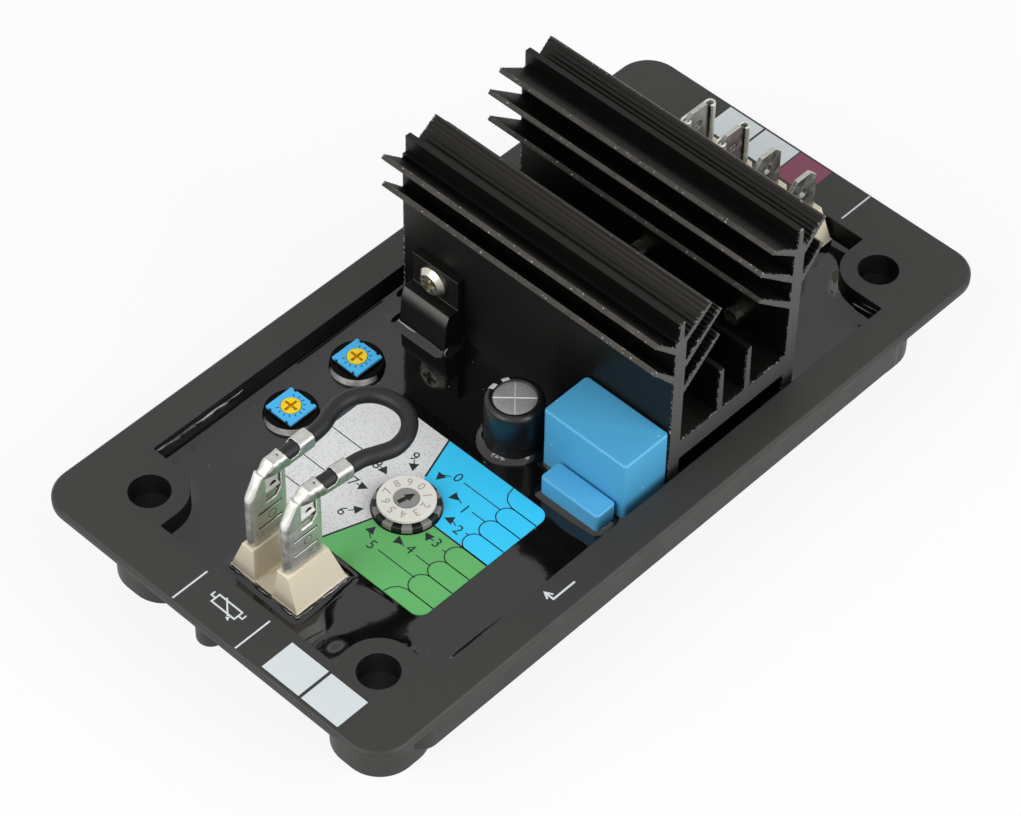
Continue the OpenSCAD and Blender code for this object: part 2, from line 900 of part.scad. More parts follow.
// A rib for one tab, drafted on all sides; the outer flank of an end rib runs out to the block's side
module rib(x, tab_x, y, side) {
    foot = rib_foot_w / 2;
    edge = block_side - rib_ledge;
    run = block_l / 2 - rib_ledge;
    intersection() {
        translate([x - run, y, block_z - eps])
            rotate([90, 0, 90])
                linear_extrude(2 * run)
                    polygon([
                        [side < 0 ? -edge : -foot, 0], [side > 0 ? edge : foot, 0],
                        [rib_top_w / 2, rib_h + eps], [-rib_top_w / 2, rib_h + eps]
                    ]);
        translate([0, y + block_side, block_z - eps])
            rotate([90, 0, 0])
                linear_extrude(2 * block_side)
                    polygon([
                        [x - run, 0], [x + run, 0],
                        [tab_x + rib_l / 2, rib_h + eps], [tab_x - rib_l / 2, rib_h + eps]
                    ]);
    }
}

module tab_slot(x, y) {
    translate([x - tab_w / 2 - slot_gap, y - tab_t / 2 - slot_gap, board_z - 1])
        cube([tab_w + 2 * slot_gap, tab_t + 2 * slot_gap, rib_z - board_z + 2]);
}

module terminal_block(x, tab_x, y, poles) {
    rows = poles == 2 ? front_poles : rear_poles;
    difference() {
        union() {
            block_shape(x, y, poles);
            for (i = [0:poles - 1])
                rib(x, tab_x, rows[i], i == 0 ? 1 : i == poles - 1 ? -1 : 0);
        }
        for (p = rows)
            tab_slot(tab_x, p);
    }
}

module terminal_tab(x, y) {
    h = rib_z + tab_up - board_z;
    translate([x, y + tab_t / 2, board_z])
        rotate([90, 0, 0])
            linear_extrude(tab_t)
                difference() {
                    polygon([
                        [-tab_w / 2, 0], [tab_w / 2, 0], [tab_w / 2, h - tab_tip],
                        [tab_w / 2 - tab_tip, h], [-tab_w / 2 + tab_tip, h], [-tab_w / 2, h - tab_tip]
                    ]);
                    translate([0, h - tab_hole_drop])
                        circle(d = tab_hole_d);
                }
}

module front_terminal_block() {
    color("#E6DAC2")
    terminal_block(front_x, front_tab_x, front_y, 2);
}

module front_terminal_tabs() {
    color("#B4B6AE")
    for (p = front_poles)
        terminal_tab(front_tab_x, p);
}

module rear_terminal_block() {
    color("#E6DAC2")
    terminal_block(rear_x, rear_tab_x, rear_y, 4);
}

module rear_terminal_tabs() {
    color("#B4B6AE")
    for (p = rear_poles)
        terminal_tab(rear_tab_x, p);
}

// Rolled edge of a receptacle on its +X side, in plan
module rolled_edge() {
    translate([roll_x, roll_y])
        difference() {
            circle(roll_r);
            circle(roll_r - sheet_t);
            translate([-2 * roll_r, -2 * roll_r])
                square(2 * roll_r);
        }
}

// Box of a receptacle round a tab that stands on the origin: slit floor and two rolled edges
module rec_box(floor_h, left_h, right_h) {
    difference() {
        translate([-roll_x, floor_y, 0])
            cube([2 * roll_x, sheet_t, floor_h]);
        for (z = [slit_low, slit_high])
            translate([-roll_x + sheet_t, floor_y - 1, z])
                cube([2 * (roll_x - sheet_t), sheet_t + 2, slit_w]);
    }
    linear_extrude(right_h)
        rolled_edge();
    linear_extrude(left_h)
        mirror([1, 0])
            rolled_edge();
}

// A rear receptacle, whose floor faces away from the bare tabs
module rear_receptacle(p) {
    translate([rear_tab_x, p, rib_z + rec_lift])
        mirror([0, 1, 0])
            rec_box(rec_h, rec_h, rec_h);
}

// A crimp barrel along +X, open at both ends and along its trough
module crimp_barrel() {
    translate([barrel_x, 0, barrel_up])
        rotate([0, 90, 0])
            difference() {
                union() {
                    cylinder(r = barrel_r, h = crimp_l);
                    translate([0, 0, crimp_l - eps])
                        intersection() {
                            cylinder(r = barrel_r, h = trough_l + 2 * eps);
                            translate([0, -barrel_r, 0])
                                cube([barrel_r, 2 * barrel_r, trough_l + 2 * eps]);
                        }
                    translate([0, 0, crimp_l + trough_l])
                        cylinder(r = barrel_r, h = grip_l);
                }
                translate([0, 0, -1])
                    cylinder(r = barrel_bore_r, h = crimp_l + trough_l + grip_l + 2);
                translate([0, 0, crimp_l + trough_l + grip_l - mouth_l])
                    cylinder(r1 = barrel_bore_r, r2 = barrel_r - mouth_edge, h = mouth_l + eps);
            }
}

// Sheet between the box's rolled edge and the open end of the barrel, in the plane of the floor
module neck_post() {
    translate([0, floor_y + sheet_t, 0])
        rotate([90, 0, 0])
            linear_extrude(sheet_t)
                polygon([
                    [-roll_x, jumper_floor_h - eps], [window_x, jumper_floor_h - eps], [window_x, neck_top],
                    [barrel_x + sheet_t, neck_top + 1], [barrel_x, neck_top + 1], [-roll_x, jumper_rec_h]
                ]);
}

// Sheet that carries the barrel above the end of the tab, with its stop and half-round hole
module neck_panel() {
    foot = tab_up + neck_gap;
    translate([window_x + neck_gap, sheet_t / 2, 0])
        rotate([90, 0, 0])
            linear_extrude(sheet_t)
                difference() {
                    translate([0, foot])
                        square([roll_x - window_x - neck_gap, neck_top - foot]);
                    intersection() {
                        translate([roll_x / 2 - window_x, foot + 2 * stop_r])
                            circle(neck_hole_r);
                        translate([0, foot + 2 * stop_r])
                            square([2 * roll_x, neck_hole_r]);
                    }
                }
    translate([window_x + neck_gap, -sheet_t / 2, foot + stop_r])
        rotate([0, 90, 0])
            cylinder(r = stop_r, h = roll_x - window_x - 3 * neck_gap);
}

module jumper_receptacle(p, bend_angle) {
    translate([front_tab_x, p, rib_z]) {
        translate([0, 0, rec_lift])
            rec_box(jumper_floor_h, jumper_rec_h - rec_lift, neck_top - rec_lift);
        neck_post();
        neck_panel();
        rotate(-bend_angle)
            crimp_barrel();
    }
}

module left_jumper_receptacle() {
    color("#B9BCB2")
    jumper_receptacle(front_poles[0], 0);
}

module right_jumper_receptacle() {
    color("#B9BCB2")
    jumper_receptacle(front_poles[1], right_bend);
}

module rear_left_receptacle() {
    color("#B9BCB2")
    rear_receptacle(rear_poles[0]);
}

module rear_right_receptacle() {
    color("#B9BCB2")
    rear_receptacle(rear_poles[1]);
}

module jumper_wire() {
    path = smooth(jumper_path, 3);
    sides = 8;
    last = len(path) - 1;
    points = [
        for (i = [0:last])
            let (h = heading(path, i))
            for (k = [0:sides - 1])
                let (a = 360 * k / sides, r = wire_d / 2)
                [path[i][0] - h[1] * r * cos(a), path[i][1] + h[0] * r * cos(a), barrel_z + r * sin(a)]
    ];
    tube = [
        for (i = [0:last - 1], k = [0:sides - 1])
            let (n = (k + 1) % sides)
            [i * sides + k, (i + 1) * sides + k, (i + 1) * sides + n, i * sides + n]
    ];
    color("#19191A")
    polyhedron(
        points = points,
        faces = concat(
            tube,
            [[for (k = [0:sides - 1]) k]],
            [[for (k = [0:sides - 1]) last * sides + sides - 1 - k]]
        )
    );
}

housing();
potting_resin();
circuit_board();
heat_sink();
settings_label();
selector_body();
selector_dial();
selector_hub();
trimmer_bases();
stability_trimmer_cover();
stability_trimmer_rotor();
voltage_trimmer_cover();
voltage_trimmer_rotor();
electrolytic_can();
electrolytic_sleeve();
large_film_capacitor();
small_film_capacitor();
front_transistor();
rear_left_transistor();
rear_right_transistor();
transistor_leads();
transistor_screws();
front_terminal_block();
front_terminal_tabs();
rear_terminal_block();
rear_terminal_tabs();
left_jumper_receptacle();
right_jumper_receptacle();
jumper_wire();
rear_left_receptacle();
rear_right_receptacle();
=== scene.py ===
"""Surfaces, prints and finishes of a potted automatic voltage regulator."""

import math

import bmesh
import bpy
import numpy as np
from mathutils import Matrix, Vector


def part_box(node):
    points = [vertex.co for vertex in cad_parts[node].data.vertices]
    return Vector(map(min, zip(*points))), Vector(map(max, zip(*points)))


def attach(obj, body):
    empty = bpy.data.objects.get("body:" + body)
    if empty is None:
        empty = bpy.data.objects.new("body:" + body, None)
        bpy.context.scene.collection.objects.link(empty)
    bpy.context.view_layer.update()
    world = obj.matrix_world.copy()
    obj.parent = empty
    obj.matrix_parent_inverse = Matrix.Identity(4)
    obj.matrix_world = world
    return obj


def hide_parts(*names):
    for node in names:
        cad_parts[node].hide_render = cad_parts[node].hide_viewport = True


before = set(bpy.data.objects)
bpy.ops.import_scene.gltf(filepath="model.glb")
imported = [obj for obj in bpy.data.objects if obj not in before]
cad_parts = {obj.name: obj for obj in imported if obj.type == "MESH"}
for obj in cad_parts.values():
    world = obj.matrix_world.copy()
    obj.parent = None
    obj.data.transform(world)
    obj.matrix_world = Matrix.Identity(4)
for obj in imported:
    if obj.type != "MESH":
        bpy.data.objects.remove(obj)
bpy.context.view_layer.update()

bl_info = {
    "name": "Potted voltage regulator",
    "version": (1, 0, 0),
    "blender": (4, 5, 0),
    "location": "View3D > Sidebar > Regulator",
    "description": "Dresses the regulator's solids with their surfaces, prints and finishes",
    "category": "Object",
}

MM = 0.001
TAU = 2 * math.pi

# The photograph's camera: turn, tilt and roll in degrees, its aim in millimetres, its distance in metres
CAMERA_TURN, CAMERA_TILT, CAMERA_ROLL = -47.030, 48.464, 1.039
CAMERA_AIM = (-6.256, -2.983, 18.2)
CAMERA_FAR = 0.58562
CAMERA_LENS = 131.14

# Places on the solids, in millimetres
PLATE_Z = 18.2
PAD_R = 6.3
LABEL_LO, LABEL_HI = [np.array(p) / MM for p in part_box("settings_label")]
RESIN_Z = LABEL_LO[2]
SELECTOR = np.array(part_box("selector_dial")[0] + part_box("selector_dial")[1])[:2] / 2 / MM
HOLES = np.array([[-57.5, 25.0], [-57.5, -25.0], [57.5, 25.0], [57.5, -25.0]])

# Sizes of details in millimetres: half a fin's thickness at its root and tip, the crest of the heat sink's
# walls above its foot, and how far a second print lies above the first
FIN_ROOT, FIN_TIP = 0.75, 0.45
CREST_Z = 33.8
OVERPRINT = 0.004

# Points of a resin collar round a quarter of its outline, and outwards
COLLAR_QUARTER = 10
COLLAR_ROWS = 13

# Push-on receptacles, in millimetres: their tabs seen from above, heights, and places from the tab
FRONT_TABS = ((-51.7, 4.61), (-51.7, -3.01))
REAR_TABS = ((55.7, 13.63), (55.7, 6.01))
RIB_Z = 20.5
BARREL_Z = 34.9
BARREL_X = -1.2
RIGHT_BEND = 5.5
ROLL_X = 3.0
ROLL_R = 0.74
FLOOR_Y = -0.63
FLOOR_H = 7.9
WINDOW_X = -0.7
LEAN_Z = 10.3
NECK_HOLE = (1.4, 10.35, 0.68)


def tone(code):
    """Scene-linear colour of a display colour that is written as six hexadecimal digits."""
    values = np.array([int(code[i:i + 2], 16) for i in (0, 2, 4)]) / 255
    linear = np.where(values < 0.04045, values / 12.92, ((values + 0.055) / 1.055) ** 2.4)
    return tuple(float(v) for v in linear)


def length_prop(name, text, value):
    """A length in metres that the panel shows."""
    return bpy.props.FloatProperty(name=name, description=text, default=value, unit="LENGTH", precision=5)


def colour_prop(name, text, code):
    """A colour that the panel shows."""
    return bpy.props.FloatVectorProperty(
        name=name, description=text, default=tone(code), subtype="COLOR", size=3, min=0, max=1
    )


class RegulatorSizes(bpy.types.PropertyGroup):
    """Lengths of the details that the surfaces add."""

    wire_d: length_prop("Wire diameter", "Diameter of the jumper wire", 0.0027)
    sheet: length_prop("Sheet thickness", "Thickness of the receptacles' sheet metal", 0.0004)
    rib_pitch: length_prop("Fin rib pitch", "Distance between the fine ribs on the fins", 0.00078)
    rib_depth: length_prop("Fin rib depth", "Depth of the fine ribs on the fins", 0.00015)
    climb: length_prop("Resin climb", "How far the resin climbs the walls", 0.00065)
    climb_w: length_prop("Resin climb width", "How far from a wall the resin climbs", 0.0011)
    ink: length_prop("Ink thickness", "Height of the prints above what carries them", 0.00001)


class RegulatorColours(bpy.types.PropertyGroup):
    """Colours of the finishes."""

    housing: colour_prop("Housing", "Moulded housing", "30302E")
    resin: colour_prop("Resin", "Poured resin", "0B0B0B")
    anodised: colour_prop("Anodised", "Black heat sink", "0B0B0A")
    cut_metal: colour_prop("Cut metal", "Sawn ends of the heat sink", "565655")
    white: colour_prop("Print white", "White flange prints", "CED5D7")
    maroon: colour_prop("Print maroon", "Maroon flange print", "80465A")
    paper: colour_prop("Label white", "White field of the label", "DADCDB")
    sky: colour_prop("Label blue", "Blue field of the label", "39CFFF")
    leaf: colour_prop("Label green", "Green field of the label", "63B268")
    cream: colour_prop("Cream", "Terminal blocks", "DCD1BA")
    film: colour_prop("Film capacitor", "Blue lacquer of the film capacitors", "4FA6D3")
    cover: colour_prop("Trimmer blue", "Trimmer covers", "45B4EE")
    rotor: colour_prop("Trimmer yellow", "Trimmer rotors", "F2D21B")
    tin: colour_prop("Tin", "Tinned terminals", "C9CBC4")
    bright_tin: colour_prop("Bright tin", "Tinned receptacles", "E2E3DD")
    nickel: colour_prop("Nickel", "Screws", "D8D2C2")
    dial: colour_prop("Dial", "Selector dial", "E4E2DA")


def length_mm(name):
    """A length of the panel, in millimetres."""
    return getattr(bpy.context.scene.regulator_sizes, name) / MM


def hue(name):
    """A colour of the panel."""
    return tuple(getattr(bpy.context.scene.regulator_colours, name))


class Shade:
    """A socket in a shader tree; arithmetic on sockets and numbers adds Math nodes."""

    def __init__(self, tree, socket=None):
        self.tree = tree
        self.socket = socket

    def node(self, kind, settings=None, sockets=None, out=0):
        """Adds any node: its settings are set first, then its sockets get values or links."""
        made = self.tree.nodes.new(kind)
        for key, value in (settings or {}).items():
            setattr(made, key, value)
        for key, value in (sockets or {}).items():
            self.feed(made.inputs[key], value)
        return Shade(self.tree, made.outputs[out])

    def feed(self, socket, value):
        """Links a socket to another one, or sets its value."""
        if isinstance(value, Shade):
            self.tree.links.new(socket, value.socket)
        elif isinstance(value, tuple) and socket.type == "RGBA":
            socket.default_value = value[:3] + (1.0,)
        else:
            socket.default_value = value

    def also(self, out):
        """Another output of the node that this socket belongs to."""
        return Shade(self.tree, self.socket.node.outputs[out])

    def maths(self, operation, *values):
        """A Math node on sockets and numbers."""
        return self.node("ShaderNodeMath", {"operation": operation}, dict(enumerate(values)))

    def __add__(self, other):
        return self.maths("ADD", self, other)

    def __sub__(self, other):
        return self.maths("SUBTRACT", self, other)

    def __rsub__(self, other):
        return self.maths("SUBTRACT", other, self)

    def __mul__(self, other):
        return self.maths("MULTIPLY", self, other)

    def __pow__(self, other):
        return self.maths("POWER", self, other)

    def __lt__(self, other):
        return self.maths("LESS_THAN", self, other)

    def __gt__(self, other):
        return self.maths("GREATER_THAN", self, other)

    def __abs__(self):
        return self.maths("ABSOLUTE", self)

    __radd__ = __add__
    __rmul__ = __mul__


class Finish:
    """One material under construction: its Principled shader, and the places that its patterns read."""

    def __init__(self, name, **constants):
        self.material = bpy.data.materials.new(name)
        self.material.use_nodes = True
        tree = self.material.node_tree
        self.shader = tree.nodes["Principled BSDF"]
        self.start = Shade(tree)
        self.place = self.start.node("ShaderNodeTexCoord", out="Object")
        for key, value in constants.items():
            self.set(key.replace("_", " "), value)

    def set(self, key, value):
        """Links one of the shader's sockets, or sets its constant."""
        self.start.feed(self.shader.inputs[key], value)

    def colour(self):
        """What feeds the base colour so far."""
        return Shade(self.start.tree, self.shader.inputs["Base Color"].links[0].from_socket)

    def axes(self):
        """The place along X, Y and Z in millimetres."""
        x = self.start.node("ShaderNodeSeparateXYZ", {}, {0: self.place})
        return x * 1000, x.also(1) * 1000, x.also(2) * 1000

    def facing(self, axis):
        """How far the surface faces along an axis, from -1 to 1."""
        normal = self.start.node("ShaderNodeNewGeometry", out="Normal")
        return self.start.node("ShaderNodeSeparateXYZ", {}, {0: normal}, axis)

    def noise(self, size, detail=3.0, stretch=(1, 1, 1)):
        """Cloudy noise from 0 to 1 whose clumps are about size millimetres across."""
        place = self.start.node("ShaderNodeMapping", {}, {"Vector": self.place, "Scale": stretch})
        sockets = {"Vector": place, "Scale": 1000 / size, "Detail": detail, "Roughness": 0.55}
        return self.start.node("ShaderNodeTexNoise", {}, sockets)

    def specks(self, size, share):
        """Round specks about size millimetres apart that cover a share of each cell: 1 inside, 0 outside."""
        sockets = {"Vector": self.place, "Scale": 1000 / size}
        return self.start.node("ShaderNodeTexVoronoi", {}, sockets, "Distance") < share

    def ramp(self, value, low, high):
        """A value run from 0 at low to 1 at high, and no further."""
        return self.start.node("ShaderNodeMapRange", {"clamp": True}, {0: value, 1: low, 2: high})

    def mix(self, share, first, second):
        """A colour between two colours."""
        return self.start.node("ShaderNodeMix", {"data_type": "RGBA"}, {0: share, 6: first, 7: second}, 2)

    def grain(self, height, depth):
        """Feeds a height from 0 to 1 to the shader as a bump of a depth in millimetres."""
        sockets = {"Height": height, "Distance": depth * MM, "Strength": 1.0}
        self.set("Normal", self.start.node("ShaderNodeBump", {}, sockets))


def darker(colour, share):
    """A colour scaled by a share."""
    return tuple(min(1.0, c * share) for c in colour)


def moulded(name, colour, rough=0.5, grain=0.012, grain_size=0.22, sheen=0.4, spread=0.16):
    """Moulded plastic: cloudy colour, uneven gloss and a fine pebbled skin."""
    look = Finish(name, Specular_IOR_Level=sheen)
    clouds = look.noise(9.0, 4.0)
    fine = look.noise(0.6, 2.0)
    shades = darker(colour, 1 - spread), darker(colour, 1 + spread)
    look.set("Base Color", look.mix(clouds * 0.6 + fine * 0.4, *shades))
    look.set("Roughness", rough - 0.12 + 0.24 * look.noise(4.0, 5.0))
    look.grain(look.noise(grain_size, 3.0), grain)
    return look


def metal(name, colour, rough=0.24, streak=(1, 1, 12), dull=0.5, metallic=1.0):
    """Plated metal: drawn streaks, dull patches and small pits."""
    look = Finish(name, Metallic=metallic)
    streaks = look.noise(2.2, 4.0, streak)
    patches = look.noise(1.6, 3.0)
    tint = look.mix(patches, darker(colour, dull), colour)
    look.set("Base Color", look.mix(look.ramp(streaks, 0.35, 0.7) * 0.4, tint, darker(colour, 0.75)))
    look.set("Roughness", rough + 0.28 * look.ramp(patches, 0.35, 0.75))
    look.grain(streaks * 0.7 + look.noise(0.35, 2.0) * 0.3, 0.02)
    return look


def grid_quads(rows, cols, wrap=False):
    """Corner numbers of the quads of a grid of points; wrap joins the last column to the first."""
    i, j = np.meshgrid(np.arange(rows - 1), np.arange(cols if wrap else cols - 1), indexing="ij")
    k = (j + 1) % cols
    return np.stack([i * cols + j, (i + 1) * cols + j, (i + 1) * cols + k, i * cols + k], -1).reshape(-1, 4)


def lofted(rows, cols):
    """Faces of rows of points that are joined into a tube, with its first and its last row closed."""
    last = (rows - 1) * cols
    ends = [list(range(cols)), list(range(last, last + cols))]
    return grid_quads(rows, cols, True).tolist() + ends


def joined(parts):
    """Points and faces of several parts as one: each part's corner numbers go on from the parts before it."""
    starts = np.cumsum([0] + [len(points) for points, _ in parts])
    faces = [[int(i + start) for i in face] for start, (_, around) in zip(starts, parts) for face in around]
    return np.concatenate([points for points, _ in parts]), faces


def settle(work, mesh, sharp):
    """Writes worked faces to a mesh and shades them smooth, except across edges sharper than an angle."""
    work.to_mesh(mesh)
    work.free()
    mesh.polygons.foreach_set("use_smooth", np.ones(len(mesh.polygons), bool))
    mesh.set_sharp_from_angle(angle=math.radians(sharp))


def add_piece(name, mesh, look, body="regulator", stands_for=(), slot=None):
    """Links a mesh as a piece at the origin, with its finish, its body and the nodes it stands for."""
    piece = bpy.data.objects.new(name, mesh)
    bpy.context.scene.collection.objects.link(piece)
    mesh.materials.clear()
    mesh.materials.append(look.material)
    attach(piece, body)
    if stands_for:
        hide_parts(*stands_for)
    return piece


def put(name, points, faces, look, sharp=35.0, closed=True, **ties):
    """A piece from an array of points in millimetres and a list of faces; equal points become one."""
    mesh = bpy.data.meshes.new(name)
    mesh.from_pydata((np.asarray(points).reshape(-1, 3) * MM).tolist(), [], [list(f) for f in faces])
    work = bmesh.new()
    work.from_mesh(mesh)
    bmesh.ops.remove_doubles(work, verts=work.verts, dist=1e-7)
    bmesh.ops.dissolve_degenerate(work, edges=work.edges, dist=1e-8)
    if closed:
        bmesh.ops.recalc_face_normals(work, faces=work.faces)
    settle(work, mesh, sharp)
    return add_piece(name, mesh, look, **ties)


def softened(node, name, look, width, segments=2, angle=40.0, **ties):
    """A copy of a solid whose loose triangles are joined, with its edges rounded to a width in metres."""
    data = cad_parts[node].data
    spots = np.empty(len(data.vertices) * 3, np.float32)
    data.vertices.foreach_get("co", spots)
    corners = np.empty(len(data.loops), np.int32)
    data.loops.foreach_get("vertex_index", corners)
    keys, back = np.unique(np.round(spots.reshape(-1, 3) * 1e7).astype(np.int64), axis=0, return_inverse=True)
    triangles = back.reshape(-1)[corners].reshape(-1, 3)
    flat = (triangles == np.roll(triangles, 1, axis=1)).any(axis=1)
    mesh = bpy.data.meshes.new(name)
    mesh.from_pydata((keys * 1e-7).tolist(), [], triangles[~flat].tolist())
    work = bmesh.new()
    work.from_mesh(mesh)
    bmesh.ops.dissolve_limit(work, angle_limit=math.radians(0.6), verts=work.verts, edges=work.edges)
    settle(work, mesh, angle)
    piece = add_piece(name, mesh, look, stands_for=(node,), **ties)
    bevel = piece.modifiers.new("Soft edges", "BEVEL")
    bevel.width = width
    bevel.segments = segments
    bevel.limit_method = "ANGLE"
    bevel.angle_limit = math.radians(angle)
    bevel.harden_normals = True


def solid_sheet(piece, thickness, offset=0.0, even=True):
    """Gives a sheet its thickness."""
    shell = piece.modifiers.new("Sheet", "SOLIDIFY")
    shell.thickness = thickness
    shell.offset = offset
    shell.use_even_offset = even


def smooth_line(points, steps):
    """Points of a smooth line through given points: each span is a cubic that heads for the neighbours."""
    p = np.asarray(points, float)
    before = np.concatenate([p[:1], p[:-2]])[:, None]
    start = p[:-1][:, None]
    end = p[1:][:, None]
    after = np.concatenate([p[2:], p[-1:]])[:, None]
    t = (np.arange(steps) / steps)[None, :, None]
    spans = 0.5 * (
        2 * start + (end - before) * t + (2 * before - 5 * start + 4 * end - after) * t ** 2
        + (3 * start - before - 3 * end + after) * t ** 3
    )
    return np.concatenate([spans.reshape(-1, p.shape[1]), p[-1:]])


def tube(line, radius, sides):
    """Points and faces of a round tube: a circle square to the line, of one radius or of one for each point,
    is carried along it, and both ends are closed."""
    heading = np.gradient(line, axis=0)
    heading /= np.linalg.norm(heading, axis=1, keepdims=True)
    across = np.stack([-heading[:, 1], heading[:, 0], 0 * heading[:, 0]], 1)
    across /= np.linalg.norm(across, axis=1, keepdims=True)
    upward = np.cross(heading, across)
    turn = np.arange(sides) * TAU / sides
    ring = across[:, None] * np.cos(turn)[None, :, None] + upward[:, None] * np.sin(turn)[None, :, None]
    points = line[:, None] + np.broadcast_to(radius, len(line))[:, None, None] * ring
    return points.reshape(-1, 3), lofted(len(line), sides)


def turned(profile, centre, sides=72):
    """Points and faces of a turned piece: each (radius, height) of the profile goes once round an upright
    axis, and both ends are closed."""
    profile = np.asarray(profile, float)
    turn = np.arange(sides) * TAU / sides
    points = np.stack([
        centre[0] + profile[:, :1] * np.cos(turn), centre[1] + profile[:, :1] * np.sin(turn),
        np.repeat(profile[:, 1:], sides, 1)
    ], -1)
    return points.reshape(-1, 3), lofted(len(profile), sides)


def cos_sin(degrees):
    """Cosine and sine of an angle in degrees."""
    return math.cos(math.radians(degrees)), math.sin(math.radians(degrees))


def spokes(degrees):
    """Unit vectors in a plane at an array of angles in degrees."""
    turn = np.radians(degrees)
    return np.stack([np.cos(turn), np.sin(turn)], 1)


def arc(centre, radius, start, stop, count):
    """Points of a circular arc in a plane, from one angle to another in degrees."""
    turn = np.radians(np.linspace(start, stop, count))
    return np.stack([centre[0] + radius * np.cos(turn), centre[1] + radius * np.sin(turn)], 1)


def stroke(line, width):
    """A flat ribbon along a line: each point goes half the width to both sides, square to the line there."""
    line = np.asarray(line, float)
    heading = np.gradient(line, axis=0)
    heading /= np.linalg.norm(heading, axis=1, keepdims=True)
    side = np.stack([-heading[:, 1], heading[:, 0]], 1) * width / 2
    i = np.arange(len(line) - 1)
    n = len(line)
    return np.concatenate([line + side, line - side]), np.stack([i + n, i + n + 1, i + 1, i], 1).tolist()


def patch(corners):
    """A flat filled outline."""
    return np.asarray(corners, float), [list(range(len(corners)))]


def box_patch(x0, y0, x1, y1):
    """A flat rectangle between two corners."""
    return patch([(x0, y0), (x1, y0), (x1, y1), (x0, y1)])


def digit(text, height, spot, turn):
    """A filled digit of a height, centred on a spot and turned by an angle in degrees."""
    curve = bpy.data.curves.new("digit", "FONT")
    curve.body = text
    curve.align_x = "CENTER"
    curve.align_y = "CENTER"
    curve.resolution_u = 3
    holder = bpy.data.objects.new("digit", curve)
    bpy.context.scene.collection.objects.link(holder)
    mesh = bpy.data.meshes.new_from_object(holder)
    spots = np.empty(len(mesh.vertices) * 3)
    mesh.vertices.foreach_get("co", spots)
    faces = [list(face.vertices) for face in mesh.polygons]
    bpy.data.objects.remove(holder)
    bpy.data.curves.remove(curve)
    bpy.data.meshes.remove(mesh)
    flat = spots.reshape(-1, 3)[:, :2]
    flat = (flat - (flat.min(0) + flat.max(0)) / 2) * height / np.ptp(flat[:, 1])
    c, s = cos_sin(turn)
    return flat @ np.array([[c, s], [-s, c]]) + np.asarray(spot), faces


def printed(name, parts, height, look, **ties):
    """One flat print from several outlines, at a height in millimetres."""
    flat, faces = joined(parts)
    points = np.concatenate([flat, np.full((len(flat), 1), height)], 1)
    put(name, points, faces, look, closed=False, **ties)


def from_box(x, y, middle, half, corner=0.0):
    """Distance of places from the edge of a rectangle with rounded corners; negative inside."""
    dx = np.abs(x - middle[0]) - half[0] + corner
    dy = np.abs(y - middle[1]) - half[1] + corner
    return np.hypot(np.maximum(dx, 0), np.maximum(dy, 0)) + np.minimum(np.maximum(dx, dy), 0) - corner


def node_plan(node):
    """Middle and half size of a node's box seen from above, in millimetres."""
    low, high = [np.array(p)[:2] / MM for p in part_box(node)]
    return (low + high) / 2, (high - low) / 2


def direct_rays(start):
    """1 for rays from the camera and for glossy and transmitted ones, 0 for the rest."""
    path = start.node("ShaderNodeLightPath")
    sharp = path.maths("MAXIMUM", path, path.also("Is Glossy Ray"))
    return path.maths("MAXIMUM", sharp, path.also("Is Transmission Ray"))


